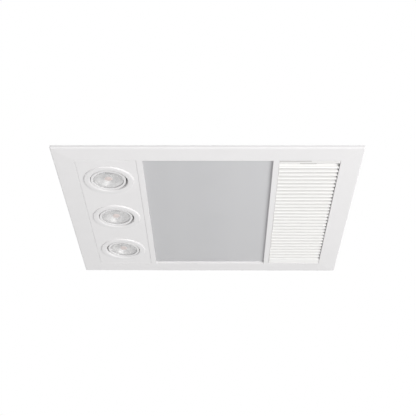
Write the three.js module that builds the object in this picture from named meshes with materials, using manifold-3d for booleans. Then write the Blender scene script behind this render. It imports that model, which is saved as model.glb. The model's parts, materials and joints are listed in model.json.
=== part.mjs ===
// Bathroom ceiling unit: a heater, an extractor fan and three tilting lamps behind one fascia.
// Lengths are in millimetres. X runs across the three modules, Y along them, and Z is up.
// The origin lies under the middle of the fascia, level with the lowest rims of the lamps.

import * as THREE from 'three';
import { mergeVertices } from 'three/addons/utils/BufferGeometryUtils.js';
import Module from 'manifold-3d';

const wasm = await Module();
wasm.setup();

// Clearances that many pieces share
const seatGap = 0.3; // round a pin, in a bore, or under a piece that is held
const seamGap = 0.6; // round a panel that drops into an opening of the fascia
const overrun = 5; // how far a cutting shape passes the faces that it cuts

// Fascia
const fasciaWidth = 475;
const fasciaDepth = 418;
const fasciaHeight = 6; // from the flat face up to the ceiling
const fasciaSkin = 2.3;
const fasciaRim = 2;
const fasciaCorner = 1.5;
const borderFall = 0.9; // how much higher the border's outer edge lies than its inner one
const edgeChamfer = 1.2;
const creaseLand = 2; // flat strip between the openings and the falling border
const sideBorder = 32.75;
const endBorder = 34;
const openingWall = 2;
const moduleBar = 9.25;
const lightWidth = 95;
const grilleWidth = 94;
const glassRecess = 4.2;
const hookOffset = 60;
const hookWidth = 22;
const hookThickness = 1.8;
const hookRise = 7; // from the ceiling up to the barb
const barbDepth = 1.6;
const barbHeight = 3.5;

// Light plate and lamps
const plateSkin = 2;
const plateSkirt = 1.6;
const plateLap = 2;
const plateFlange = 1.5;
const lampEndMargin = 56.1; // from the opening's end to the outer lamp's middle
const lampSideMargin = 7.5; // from the opening's side to the bezel
const bezelProud = 2;
const bezelWidth = 10; // from the bezel's outer edge to its bore
const bezelEdge = 2; // the rounded outer edge
const bezelTaper = 2; // from the flat ring in to the bore
const bezelBevel = 1;
const edgeShares = [[0, 0], [0.5, 0.14], [0.87, 0.5], [1, 0.8]]; // across the edge, up the rim
const barrelWall = 2.4;
const barrelHeight = 16;
const pivotHeight = 5.4; // above the lowest rim of the bezel
const pivotPinRadius = 1.5;
const pivotPinBite = 1.6; // how far the pivot pin enters the barrel's wall
const gimbalGap = 1.7; // between the gimbal ring and the bezel
const gimbalWall = 3;
const gimbalBelow = 4.1;
const gimbalAbove = 4.4;
const gimbalLip = 0.9;
const gimbalLipHeight = 0.8;
const gimbalEdge = 0.5;
const lensThickness = 1.2;
const reflectorWall = 0.8;
const reflectorDepth = 14.2;
const reflectorRim = 1.8; // flat rim that lies behind the lens
const throatLip = 2.2; // from the emitter's board in to the reflector's throat
const emitterGap = 0.8;
const emitterEdge = 0.8;
const emitterBoardThickness = 1;
const sinkSkirtHeight = 4.3;
const sinkShoulderShare = 0.75; // of the gimbal ring's bore
const sinkShoulderHeight = 7;
const sinkFinInset = 1.5;
const sinkCoreShare = 0.5; // of the fins' outer radius
const sinkFinHeight = 28;
const sinkFinCount = 14;
const finShares = [0.1, 0.28, 0.52, 0.7]; // of the pitch: root, tip, tip and root
const sinkBowlGap = 1;
const springWire = 0.6; // radius of the wire
const springTurn = 2.4; // radius of the coil's centre line
const springPitch = 1.8;
const springTurns = 2;
const springTail = 9;
const springFoot = 3;
const springPinLift = 7.2; // from the leg's foot up to the coil's middle
const springStubWidth = 2;
const springSlopeAngle = -50;

// Rest tilt of each lamp in degrees, as the three lamps were left
const lampTilts = [-1, -1.6, 2.4];

// Heater
const glassLap = 1.8; // how far the glass lies on its seat
const glassThickness = 4;
const gasketWidth = 7;
const gasketThickness = 1.5;
const railSheet = 1.2;
const railFoot = 3;
const railEndMargin = 25;
const reflectorSheet = 1;
const reflectorRimGap = 1.4; // above the glass rails
const reflectorInset = 3; // inside the edges of the glass opening
const troughHeight = 36;
const ridgeHeight = 26;
const troughFlatShare = 0.25; // of a trough's half width
const troughSideShare = 0.75; // of the trough's height, up its outer side
const tubeDrop = 16; // from the trough's top down to the tube's centre
const tubeRadius = 5.5;
const tubeEndRadius = 4;
const tubeEndLength = 9;
const holderWidth = 16;
const holderDepth = 11;
const holderHeight = 24;
const holderFloor = 3;
const reflectorFoot = 8;
const cutoutRadius = 8;
const cutoutHeight = 5;
const cutoutTabWidth = 4.8;
const cutoutTabThickness = 0.8;
const cutoutTabHeight = 8;
const cutoutY = 70;

// Grille
const grilleNearBar = 6.1;
const grilleFirstSlat = 9.7; // from the near bar's outer face to the first slat's band
const grilleBarHeight = 12;
const farWall = 3;
const farGap = 0.9;
const farBarLeast = 12;
const slatPitch = 10.8;
const slatThickness = 1.8;
const slatLean = 5;
const slatRise = 8.5;
const slatEndGap = 0.7; // at the right, where the slats end free
const slatEndTaper = 2.6;
const slatTaperRise = 3.2;
const ribShares = [0.14, 0.5, 0.86];
const grilleRib = 2;
const grilleRibFoot = 6.5;
const tabOffset = 32;
const tabWidth = 25.5;
const tabReach = 3.4;
const tabRecess = 1.2;
const tabThickness = 2;
const hingePinRadius = 1.2;
const hingePinBite = 1.2;
const hingeNose = 1.9;

// Housing tray
const sheet = 1.2;
const trayRise = 76; // above the ceiling
const traySideMargin = 7;
const trayEndMargin = 8.8;
const trayFlange = 17;
const swageHeight = 1.5;
const swageWidth = 10;
const swageLength = 150;
const swageShares = [0.6, 0.8];

// Fan
const scrollSideMargin = 1.75; // from the tray's right side to the scroll
const scrollY = -20;
const impellerRadius = 75;
const impellerHeight = 50;
const impellerBelow = 8; // gap under the impeller
const impellerRoom = 9; // gap over the impeller
const bladeLength = 13; // radial
const bladeThickness = 1.3;
const bladeSweep = 15; // how far the outer edge leads the inner one, in degrees
const bladeCount = 32;
const impellerPlate = 1.5;
const impellerRing = 2.5;
const hubRadius = 9;
const hubHeight = 20;
const shaftRadius = 4;
const shaftBite = 16; // how far the shaft enters the motor
const tongueGap = 7;
const tongueAngle = 70;
const scrollGrowth = 28;
const mouthReach = 100;
const scrollFootWidth = 14;
const scrollFootReach = 12;
const scrollFootAngles = [180, 250, 320];
const inletRadius = 60;
const inletLip = 57.5;
const inletRise = 9;
const inletFlange = 8;
const inletSheet = 1;
const motorRadius = 42;
const motorHeight = 32;
const motorFlange = 6;
const motorFlangeThickness = 2;
const motorSpigot = 27;
const motorSpigotDrop = 6;
const motorBossRadius = 11;
const motorBossHeight = 4;
const motorCrown = 4;
const motorVentWidth = 6;
const motorVentHeight = 14;
const motorVentDepth = 3;
const motorVentCount = 10;

// Duct adaptor and draught flap
const adaptorWall = 1.6;
const adaptorBite = 12; // how far it enters the scroll's mouth
const adaptorSquare = 62; // length of the square part past the mouth
const adaptorBlend = 20;
const collarLength = 41;
const collarRadius = 50;
const collarShift = 9; // the round collar lies this far towards the middle
const collarBead = 1;
const collarBeadWidth = 3;
const flapThickness = 1.5;
const flapSideGap = 1;
const flapHang = 3.5; // hinge line below the adaptor's roof
const flapKnuckle = 2.6;
const flapPinRadius = 1.6;
const flapOffset = 2; // hinge line past the scroll's mouth
const flapSill = 0.6;
const stopHeight = 3;

// Electrical pieces on the housing
const driverLength = 130;
const driverWidth = 45;
const driverHeight = 28;
const driverEar = 10;
const driverEarThickness = 2;
const driverSideMargin = 17.25;
const driverY = -5;
const driverRound = 3;
const boxLength = 90;
const boxWidth = 60;
const boxHeight = 36;
const boxWall = 2;
const boxX = -75;
const boxEndMargin = 18.8;
const lidThickness = 2;
const lidLap = 1.5;
const blockLength = 46;
const blockWidth = 18;
const blockHeight = 10;
const blockPoles = 4;
const blockPoleHeight = 6;
const blockPoleWidth = 7;
const glandHeight = 20;
const glandBody = 8;
const glandBore = 4.5;
const glandNutRadius = 11;
const glandNutHeight = 6;
const glandDome = 9;
const glandInside = 5;

// Ceiling clamps
const clampSideMargin = 61.75; // from the tray's side to the screw
const clampStandoff = 6; // screw axis from the tray's wall
const screwRadius = 2;
const screwHeadRadius = 3.6;
const screwHeadHeight = 2;
const screwLength = 52;
const armHub = 5;
const armLength = 30;
const armTipWidth = 8;
const armThickness = 6;
const armPark = 36; // height of the parked arm above the ceiling
const armToe = 2;

// Facets
const roundSides = 28;
const barrelSides = 24;
const smallSides = 10;
const nutSides = 6;
const troughSteps = 6;
const wireSides = 3; // half the sides of the spring wire
const arcSteps = 3;
const collarSteps = 5;
const bladeSteps = 3;
const spiralSteps = 24;

// Levels and places that follow from the sizes above
const faceZ = bezelProud;
const seatZ = faceZ + glassRecess;
const ceilingZ = faceZ + fasciaHeight;
const openingHalf = fasciaDepth / 2 - endBorder;
const lightLeft = sideBorder - fasciaWidth / 2;
const lightRight = lightLeft + lightWidth;
const grilleRight = fasciaWidth / 2 - sideBorder;
const grilleLeft = grilleRight - grilleWidth;
const glassLeft = lightRight + moduleBar;
const glassRight = grilleLeft - moduleBar;
const glassMiddle = (glassLeft + glassRight) / 2;
const glassWidth = glassRight - glassLeft;
const lampPitch = openingHalf - lampEndMargin;
const bezelRadius = lightWidth / 2 - lampSideMargin;
const bezelBore = bezelRadius - bezelWidth;
const barrelRadius = bezelBore + barrelWall;
const gimbalRadius = bezelBore - gimbalGap;
const gimbalBore = gimbalRadius - gimbalWall;
const reflectorMouth = gimbalBore - reflectorRim;
const sinkShoulderRadius = gimbalBore * sinkShoulderShare;
const sinkFinRadius = sinkShoulderRadius - sinkFinInset;
const emitterBoardRadius = sinkShoulderRadius / 2;
const reflectorThroat = emitterBoardRadius - throatLip;
const emitterRadius = reflectorThroat - emitterGap;
const railLength = 2 * (openingHalf - railEndMargin);
const slatField = 2 * (openingHalf - seamGap) - grilleFirstSlat - farGap - farBarLeast;
const slatCount = Math.floor(slatField / slatPitch);
const trayHalfX = fasciaWidth / 2 - sideBorder + traySideMargin;
const trayHalfY = openingHalf + trayEndMargin;
const trayTop = ceilingZ + trayRise;
const trayRoof = trayTop - sheet;
const scrollStart = impellerRadius + tongueGap;
const scrollEnd = scrollStart + scrollGrowth;
const scrollX = trayHalfX - scrollSideMargin - scrollEnd;
const scrollFloor = trayTop + sheet;
const scrollRoof = scrollFloor + impellerBelow + impellerHeight + impellerRoom;
const scrollTop = scrollRoof + sheet;
const throatLeft = scrollX + scrollStart * Math.cos(radians(tongueAngle));
const throatRight = scrollX + scrollEnd;
const driverX = driverSideMargin + driverWidth / 2 - trayHalfX;
const boxY = boxEndMargin + boxWidth / 2 - trayHalfY;
const clampX = trayHalfX - clampSideMargin;
const mouthY = scrollY + mouthReach;
const impellerTop = scrollFloor + impellerBelow + impellerHeight;
const gasketTop = seatZ + glassThickness + gasketThickness;
const troughTop = gasketTop + railSheet + reflectorRimGap + troughHeight;
const tubeZ = troughTop - tubeDrop;
const reflectorLeft = glassLeft + reflectorInset;
const reflectorRight = glassRight - reflectorInset;
const troughHalf = (reflectorRight - reflectorLeft) / 4;

function radians(degrees) {
  return THREE.MathUtils.degToRad(degrees);
}

// A closed geometry as a solid for joining and cutting
function solid(geometry) {
  const bare = geometry.index ? geometry.toNonIndexed() : geometry.clone();
  bare.deleteAttribute('normal');
  bare.deleteAttribute('uv');
  const welded = mergeVertices(bare);
  const corners = welded.index.array;
  const kept = [];
  for (let i = 0; i < corners.length; i += 3) {
    const [a, b, c] = corners.slice(i, i + 3);
    if (a !== b && b !== c && c !== a) {
      kept.push(a, b, c);
    }
  }
  const vertProperties = new Float32Array(welded.attributes.position.array);
  const triVerts = new Uint32Array(kept);
  return new wasm.Manifold(new wasm.Mesh({ numProp: 3, vertProperties, triVerts }));
}

function geometryOf(body) {
  const mesh = body.getMesh();
  const geometry = new THREE.BufferGeometry();
  geometry.setAttribute('position', new THREE.BufferAttribute(mesh.vertProperties, 3));
  geometry.setIndex(new THREE.BufferAttribute(mesh.triVerts, 1));
  geometry.computeVertexNormals();
  return geometry;
}

function joined(bodies) {
  return bodies.reduce((whole, body) => whole.add(body));
}

function cut(body, tools) {
  return tools.reduce((rest, tool) => rest.subtract(tool), body);
}

// Puts the two ends of a straight geometry exactly on two levels along one axis
function setEnds(geometry, axis, low, high) {
  const places = geometry.attributes.position;
  const middle = new THREE.Vector3();
  geometry.computeBoundingBox();
  geometry.boundingBox.getCenter(middle);
  for (let i = 0; i < places.count; i += 1) {
    const upper = places.getComponent(i, axis) > middle.getComponent(axis);
    places.setComponent(i, axis, upper ? high : low);
  }
}

// A box between two corners
function block(x0, x1, y0, y1, z0, z1) {
  const geometry = new THREE.BoxGeometry(x1 - x0, y1 - y0, z1 - z0);
  setEnds(geometry, 0, x0, x1);
  setEnds(geometry, 1, y0, y1);
  setEnds(geometry, 2, z0, z1);
  return solid(geometry);
}

// A flat outline drawn out along its own Z axis
function drawnOut(points, depth) {
  const shape = new THREE.Shape(points.map(([x, y]) => new THREE.Vector2(x, y)));
  return new THREE.ExtrudeGeometry(shape, { depth, bevelEnabled: false });
}

// An outline in X and Y, raised from z0 to z1
function prismUp(points, z0, z1) {
  const geometry = drawnOut(points, z1 - z0);
  setEnds(geometry, 2, z0, z1);
  return solid(geometry);
}

// An outline in Y and Z, drawn out from x0 to x1
function prismAcross(points, x0, x1) {
  const geometry = drawnOut(points, x1 - x0);
  const toX = new THREE.Vector3(0, 1, 0);
  const toY = new THREE.Vector3(0, 0, 1);
  const toZ = new THREE.Vector3(1, 0, 0);
  geometry.applyMatrix4(new THREE.Matrix4().makeBasis(toX, toY, toZ));
  setEnds(geometry, 0, x0, x1);
  return solid(geometry);
}

// An outline in X and Z, drawn out from y0 to y1
function prismAlong(points, y0, y1) {
  const geometry = drawnOut(points, y1 - y0);
  geometry.rotateX(Math.PI / 2);
  setEnds(geometry, 1, y0, y1);
  return solid(geometry);
}

// A profile of [radius, z] points, turned about the Z axis
function turned(profile, sides) {
  const points = profile.map(([radius, z]) => new THREE.Vector2(radius, z));
  const last = points[points.length - 1];
  if (points[0].x > 0 || last.x > 0) {
    points.push(points[0].clone());
  }
  const geometry = new THREE.LatheGeometry(points, sides);
  geometry.rotateX(Math.PI / 2);
  return solid(geometry);
}

// A round bar between two points
function rod(start, end, radius, sides) {
  const from = new THREE.Vector3(...start);
  const to = new THREE.Vector3(...end);
  const span = to.clone().sub(from);
  const geometry = new THREE.CylinderGeometry(radius, radius, span.length(), sides);
  const turn = new THREE.Quaternion();
  turn.setFromUnitVectors(new THREE.Vector3(0, 1, 0), span.normalize());
  geometry.applyQuaternion(turn);
  const middle = from.add(to).multiplyScalar(1 / 2);
  geometry.translate(middle.x, middle.y, middle.z);
  return solid(geometry);
}

// A rectangle with round corners, counter-clockwise, as [x, y] points about its middle
function roundedRectangle(width, depth, radius, steps) {
  const points = [];
  for (let corner = 0; corner < 4; corner += 1) {
    const signX = corner === 0 || corner === 3 ? 1 : -1;
    const signY = corner < 2 ? 1 : -1;
    for (let step = 0; step <= steps; step += 1) {
      const angle = (Math.PI / 2) * (corner + step / steps);
      const x = signX * (width / 2 - radius) + radius * Math.cos(angle);
      const y = signY * (depth / 2 - radius) + radius * Math.sin(angle);
      points.push([x, y]);
    }
  }
  return points;
}

// A solid through rings of equally many points, each ring counter-clockwise about the way it goes
function lofted(rings) {
  const count = rings[0].length;
  const positions = rings.flat().flat();
  const index = [];
  for (let ring = 0; ring < rings.length - 1; ring += 1) {
    for (let i = 0; i < count; i += 1) {
      const a = ring * count + i;
      const b = ring * count + ((i + 1) % count);
      index.push(a, b, b + count, a, b + count, a + count);
    }
  }
  const top = (rings.length - 1) * count;
  for (let i = 1; i < count - 1; i += 1) {
    index.push(0, i + 1, i);
    index.push(top, top + i, top + i + 1);
  }
  const geometry = new THREE.BufferGeometry();
  geometry.setAttribute('position', new THREE.Float32BufferAttribute(positions, 3));
  geometry.setIndex(index);
  return solid(geometry);
}

function levelRing(width, depth, radius, z) {
  return roundedRectangle(width, depth, radius, arcSteps).map(([x, y]) => [x, y, z]);
}

function finish(color, roughness, metalness) {
  return new THREE.MeshStandardMaterial({ color, roughness, metalness });
}

const whiteFascia = finish(0xe7e6e7, 0.35, 0);
const whiteGrille = finish(0xf3f2ee, 0.4, 0);
const whiteBezel = finish(0xe6e6e6, 0.3, 0);
const clearLens = finish(0xe4e8ea, 0.05, 0);
const mirror = finish(0xd2d3d5, 0.15, 1);
const phosphor = finish(0xe9b9a4, 0.5, 0);
const castAluminium = finish(0xb4b6b8, 0.45, 0.9);
const springSteel = finish(0x9a9da1, 0.3, 1);
const frostedGlass = finish(0xc4c6c9, 0.55, 0);
const gasketRubber = finish(0xd8d4cc, 0.9, 0);
const galvanised = finish(0xa9adb0, 0.5, 0.9);
const brightAluminium = finish(0xd9dadb, 0.2, 1);
const rubyQuartz = finish(0xb5503c, 0.1, 0);
const ceramic = finish(0xe9e3d6, 0.7, 0);
const blackPlastic = finish(0x26272a, 0.5, 0);
const greyPlastic = finish(0x8d9094, 0.55, 0);
const whitePlastic = finish(0xe4e2dc, 0.5, 0);
const paintedSteel = finish(0xdadbdc, 0.45, 0.2);
const zincSteel = finish(0xb9b7a8, 0.35, 0.9);

const unit = new THREE.Group();

function addPiece(name, body, material, parent = unit) {
  const mesh = new THREE.Mesh(geometryOf(body), material);
  mesh.name = name;
  parent.add(mesh);
  return mesh;
}

function groupAt(x, y, z, parent = unit) {
  const group = new THREE.Group();
  group.position.set(x, y, z);
  parent.add(group);
  return group;
}

// Fascia frame: a falling border, three openings, seats for what drops in and four snap hooks
function fasciaShell() {
  const flatWidth = fasciaWidth - 2 * sideBorder + 2 * creaseLand;
  const flatDepth = fasciaDepth - 2 * endBorder + 2 * creaseLand;
  const chamferZ = faceZ + borderFall;
  const cornerInside = fasciaCorner - edgeChamfer;
  const outside = lofted([
    levelRing(flatWidth, flatDepth, fasciaCorner, faceZ),
    levelRing(fasciaWidth - 2 * edgeChamfer, fasciaDepth - 2 * edgeChamfer, cornerInside, chamferZ),
    levelRing(fasciaWidth, fasciaDepth, fasciaCorner, chamferZ + edgeChamfer),
    levelRing(fasciaWidth, fasciaDepth, fasciaCorner, ceilingZ),
  ]);
  const insideX = fasciaWidth / 2 - fasciaRim;
  const insideY = fasciaDepth / 2 - fasciaRim;
  const floorZ = faceZ + fasciaSkin;
  return cut(outside, [block(-insideX, insideX, -insideY, insideY, floorZ, ceilingZ + overrun)]);
}

function fasciaSeats() {
  const wallY = openingHalf + openingWall;
  const rootZ = faceZ + fasciaSkin / 2;
  const seats = block(lightLeft - openingWall, grilleRight + openingWall, -wallY, wallY, rootZ, seatZ);
  const collar = block(
    grilleLeft - openingWall,
    grilleRight + openingWall,
    -wallY,
    wallY,
    rootZ,
    ceilingZ,
  );
  return joined([seats, collar]);
}

function snapHooks() {
  const outer = trayHalfY - sheet - seatGap;
  const inner = outer - hookThickness;
  const barbZ = ceilingZ + hookRise;
  const tip = outer + barbDepth;
  const profile = [
    [inner, faceZ + fasciaSkin / 2],
    [outer, faceZ + fasciaSkin / 2],
    [outer, barbZ],
    [tip, barbZ],
    [outer, barbZ + barbHeight],
    [inner, barbZ + barbHeight],
  ];
  const hooks = [];
  for (const x of [-hookOffset, hookOffset]) {
    const near = prismAcross(profile, x - hookWidth / 2, x + hookWidth / 2);
    hooks.push(near, near.mirror([0, 1, 0]));
  }
  return hooks;
}

function openingCut(left, right) {
  return block(left, right, -openingHalf, openingHalf, faceZ - overrun, ceilingZ + overrun);
}

function hingeLine() {
  return [openingHalf - seamGap - hingeNose, faceZ + hingeNose];
}

function fasciaFrame() {
  const [hingeY, hingeZ] = hingeLine();
  const reach = hingePinBite + seatGap;
  const holeStart = [grilleLeft - reach, hingeY, hingeZ];
  const holeEnd = [grilleRight + reach, hingeY, hingeZ];
  const body = cut(joined([fasciaShell(), fasciaSeats()]), [
    openingCut(lightLeft, lightRight),
    openingCut(glassLeft, glassRight),
    openingCut(grilleLeft, grilleRight),
    rod(holeStart, holeEnd, hingePinRadius + seatGap, smallSides),
  ]);
  return joined([body, ...snapHooks()]);
}

// Light plate: a shallow panel that lies flush in the left opening and laps over its walls
function lampCentres() {
  return [-lampPitch, 0, lampPitch];
}

function lightPlate() {
  const x0 = lightLeft + seatGap;
  const x1 = lightRight - seatGap;
  const y = openingHalf - seatGap;
  const flangeTop = seatZ + plateFlange;
  const lap = seatGap + plateLap;
  const panel = block(x0, x1, -y, y, faceZ, flangeTop);
  const flange = block(x0 - lap, x1 + lap, -y - lap, y + lap, seatZ, flangeTop);
  const hollow = block(
    x0 + plateSkirt,
    x1 - plateSkirt,
    plateSkirt - y,
    y - plateSkirt,
    faceZ + plateSkin,
    flangeTop + overrun,
  );
  const middle = (lightLeft + lightRight) / 2;
  const holes = lampCentres().map((centre) =>
    rod(
      [middle, centre, faceZ - overrun],
      [middle, centre, flangeTop + overrun],
      barrelRadius + seatGap,
      barrelSides,
    ),
  );
  return cut(joined([panel, flange]), [hollow, ...holes]);
}

// Lamp bezel: a flat ring with a round edge on a short barrel, with pivot holes and spring stubs
function springPinX() {
  return barrelRadius + seatGap + springWire + springTurn;
}

function springPinZ() {
  return faceZ + plateSkin + springWire + springPinLift;
}

function lampBezel() {
  const barrelTop = faceZ + barrelHeight;
  const flatOuter = bezelRadius - bezelEdge;
  const edge = edgeShares.map(([across, up]) => [flatOuter + bezelEdge * across, bezelProud * up]);
  const ring = turned(
    [
      [bezelBore, bezelBevel],
      [bezelBore + bezelTaper, 0],
      ...edge,
      [bezelRadius, bezelProud],
      [barrelRadius, bezelProud],
      [barrelRadius, barrelTop],
      [bezelBore, barrelTop],
    ],
    barrelSides,
  );
  const holeReach = barrelRadius + overrun;
  const pivotHole = rod(
    [0, -holeReach, pivotHeight],
    [0, holeReach, pivotHeight],
    pivotPinRadius + seatGap,
    smallSides,
  );
  const stubs = [];
  for (const side of [-1, 1]) {
    stubs.push(springStub(side));
  }
  return joined([cut(ring, [pivotHole]), ...stubs]);
}

function springStub(side) {
  const pinX = springPinX();
  const pinZ = springPinZ();
  const pinRadius = springTurn - springWire - 2 * seatGap;
  const half = springStubWidth / 2;
  const pinEnd = half + springPitch * (springTurns + 1);
  const root = barrelRadius - barrelWall / 2;
  const web = block(root, pinX + pinRadius, -half, half, pinZ - pinRadius, pinZ + pinRadius);
  const pin = rod([pinX, 0, pinZ], [pinX, pinEnd, pinZ], pinRadius, smallSides);
  const stub = joined([web, pin]);
  return side < 0 ? stub.rotate([0, 0, 180]) : stub;
}

// Bezel spring: a coil on the stub, a tail along the barrel and a leg that presses on the plate
function bezelSpring() {
  const pinX = springPinX();
  const pinZ = springPinZ();
  const slope = radians(springSlopeAngle);
  const startAngle = Math.PI;
  const endAngle = Math.PI * 1.5 + slope + 2 * Math.PI * springTurns;
  const stepAngle = Math.PI / 3;
  const steps = Math.round((endAngle - startAngle) / stepAngle);
  const firstY = springStubWidth / 2 + springWire + seatGap;
  const points = [new THREE.Vector3(pinX - springTurn, firstY, pinZ + springTail)];
  points.push(new THREE.Vector3(pinX - springTurn, firstY, pinZ + springTurn));
  for (let step = 0; step <= steps; step += 1) {
    const angle = startAngle + ((endAngle - startAngle) * step) / steps;
    const x = pinX + springTurn * Math.cos(angle);
    const y = firstY + (springPitch * (angle - startAngle)) / (2 * Math.PI);
    points.push(new THREE.Vector3(x, y, pinZ + springTurn * Math.sin(angle)));
  }
  const last = points[points.length - 1];
  const footZ = faceZ + plateSkin + springWire + seatGap;
  const legRun = (last.z - footZ) / -Math.tan(slope);
  points.push(new THREE.Vector3(last.x + legRun, last.y, footZ));
  points.push(new THREE.Vector3(last.x + legRun + springFoot, last.y, footZ));
  const path = new THREE.CatmullRomCurve3(points, false, 'centripetal');
  const section = new THREE.Shape();
  section.absarc(0, 0, springWire, 0, 2 * Math.PI);
  const settings = { steps: points.length, extrudePath: path, curveSegments: wireSides };
  return solid(new THREE.ExtrudeGeometry(section, settings));
}

// Gimbal ring: round like a ball outside, with a lip that carries the lens and two pivot pins
function gimbalRing() {
  const profile = [[gimbalBore - gimbalLip, gimbalEdge - gimbalBelow]];
  profile.push([gimbalBore - gimbalLip + gimbalEdge, -gimbalBelow]);
  for (let step = 0; step <= arcSteps; step += 1) {
    const z = -gimbalBelow + ((gimbalBelow + gimbalAbove) * step) / arcSteps;
    profile.push([Math.sqrt(gimbalRadius ** 2 - z ** 2), z]);
  }
  profile.push([gimbalBore, gimbalAbove]);
  profile.push([gimbalBore, gimbalLipHeight - gimbalBelow]);
  profile.push([gimbalBore - gimbalLip, gimbalLipHeight - gimbalBelow]);
  const ring = turned(profile, barrelSides);
  const inner = (gimbalBore + gimbalRadius) / 2;
  const outer = bezelBore + pivotPinBite;
  const pins = [-1, 1].map((side) =>
    rod([0, side * inner, 0], [0, side * outer, 0], pivotPinRadius, smallSides),
  );
  return joined([ring, ...pins]);
}

// Levels inside a lamp, counted from its tilting axis
const lensZ = gimbalLipHeight - gimbalBelow + seatGap;
const reflectorZ = lensZ + lensThickness + seatGap;
const reflectorTop = reflectorZ + reflectorDepth;
const boardZ = reflectorTop + seatGap;
const sinkZ = gimbalAbove + seatGap;
const sinkFloor = boardZ + emitterBoardThickness + seatGap;

function lampLens() {
  const radius = gimbalBore - seatGap;
  const edge = lensThickness / 3;
  return turned(
    [
      [0, lensZ],
      [radius - edge, lensZ],
      [radius, lensZ + edge],
      [radius, lensZ + lensThickness],
      [0, lensZ + lensThickness],
    ],
    barrelSides,
  );
}

// Inner radius of the reflector's bowl at a height
function bowlRadius(z) {
  const share = (reflectorTop - z) / reflectorDepth;
  return reflectorThroat + (reflectorMouth - reflectorThroat) * Math.sqrt(share);
}

function bowlHeights() {
  const heights = [];
  for (let step = 0; step <= arcSteps; step += 1) {
    const share = 1 - (1 - step / arcSteps) ** 2;
    heights.push(reflectorZ + reflectorDepth * share);
  }
  return heights;
}

function lampReflector() {
  const rim = gimbalBore - seatGap;
  const profile = [
    [reflectorMouth, reflectorZ],
    [rim, reflectorZ],
    [rim, reflectorZ + reflectorWall],
  ];
  const heights = bowlHeights().slice(1);
  for (const z of heights) {
    profile.push([bowlRadius(z) + reflectorWall, z]);
  }
  for (const z of heights.reverse()) {
    profile.push([bowlRadius(z), z]);
  }
  return turned(profile, barrelSides);
}

// Emitter: its face stands on a post just behind the lens
function ledEmitter() {
  return turned(
    [
      [0, reflectorZ],
      [emitterRadius - emitterEdge, reflectorZ],
      [emitterRadius, reflectorZ + emitterEdge],
      [emitterRadius, boardZ],
      [emitterBoardRadius, boardZ],
      [emitterBoardRadius, boardZ + emitterBoardThickness],
      [0, boardZ + emitterBoardThickness],
    ],
    smallSides,
  );
}

// Heat sink: a skirt on the gimbal ring, a hollow for the reflector and a ring of straight fins
function finOutline() {
  const points = [];
  const pitch = (2 * Math.PI) / sinkFinCount;
  const core = sinkFinRadius * sinkCoreShare;
  const radii = [core, sinkFinRadius, sinkFinRadius, core];
  for (let fin = 0; fin < sinkFinCount; fin += 1) {
    finShares.forEach((share, i) => {
      const angle = pitch * (fin + share);
      points.push([radii[i] * Math.cos(angle), radii[i] * Math.sin(angle)]);
    });
  }
  return points;
}

function heatSink() {
  const skirt = gimbalBore;
  const skirtTop = sinkZ + sinkSkirtHeight;
  const shoulderTop = skirtTop + sinkShoulderHeight;
  const body = turned(
    [
      [0, sinkZ],
      [skirt, sinkZ],
      [skirt, skirtTop],
      [sinkShoulderRadius, shoulderTop],
      [0, shoulderTop],
    ],
    barrelSides,
  );
  const hollow = [[0, reflectorZ]];
  for (const z of bowlHeights()) {
    hollow.push([bowlRadius(z) + reflectorWall + sinkBowlGap, z]);
  }
  hollow.push([emitterBoardRadius + seatGap, reflectorTop]);
  hollow.push([emitterBoardRadius + seatGap, sinkFloor]);
  hollow.push([0, sinkFloor]);
  const fins = prismUp(finOutline(), shoulderTop - seatGap, shoulderTop + sinkFinHeight);
  return cut(joined([body, fins]), [turned(hollow, barrelSides)]);
}

function addLamps() {
  const middle = (lightLeft + lightRight) / 2;
  const bezel = lampBezel();
  const spring = bezelSpring();
  const tiltingPieces = [
    ['gimbal_ring', gimbalRing(), whiteBezel],
    ['lamp_lens', lampLens(), clearLens],
    ['lamp_reflector', lampReflector(), mirror],
    ['led_emitter', ledEmitter(), phosphor],
    ['heat_sink', heatSink(), castAluminium],
  ];
  lampCentres().forEach((centre, i) => {
    const number = i + 1;
    const fixed = groupAt(middle, centre, 0);
    addPiece(`lamp_bezel_${number}`, bezel, whiteBezel, fixed);
    addPiece(`bezel_spring_${number}_right`, spring, springSteel, fixed);
    const opposite = addPiece(`bezel_spring_${number}_left`, spring, springSteel, fixed);
    opposite.rotation.z = Math.PI;
    const tilting = groupAt(0, 0, pivotHeight, fixed);
    tilting.rotation.y = radians(lampTilts[i]);
    for (const [name, body, material] of tiltingPieces) {
      addPiece(`${name}_${number}`, body, material, tilting);
    }
  });
}

// Heater: the glass on its seat, a gasket, two rails, the reflector tray and two tubes
function heaterGlass() {
  const width = glassWidth + 2 * glassLap;
  const depth = 2 * (openingHalf + glassLap);
  const edge = glassLap / 3;
  const glass = lofted([
    levelRing(width - 2 * edge, depth - 2 * edge, edge, seatZ),
    levelRing(width, depth, 2 * edge, seatZ + edge),
    levelRing(width, depth, 2 * edge, seatZ + glassThickness),
  ]);
  return glass.translate([glassMiddle, 0, 0]);
}

function glassGasket() {
  const x0 = glassLeft - glassLap;
  const x1 = glassRight + glassLap;
  const y = openingHalf + glassLap;
  const z0 = seatZ + glassThickness;
  const w = gasketWidth;
  const inside = block(x0 + w, x1 - w, w - y, y - w, z0 - overrun, gasketTop + overrun);
  return cut(block(x0, x1, -y, y, z0, gasketTop), [inside]);
}

function glassRail() {
  const web = glassWidth / 2 + glassLap + seatGap;
  const outer = web + railSheet;
  const profile = [
    [web - gasketWidth, gasketTop],
    [web, gasketTop],
    [web, seatZ],
    [outer + railFoot, seatZ],
    [outer + railFoot, seatZ + railSheet],
    [outer, seatZ + railSheet],
    [outer, gasketTop + railSheet],
    [web - gasketWidth, gasketTop + railSheet],
  ];
  return prismAlong(profile, -railLength / 2, railLength / 2);
}

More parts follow.
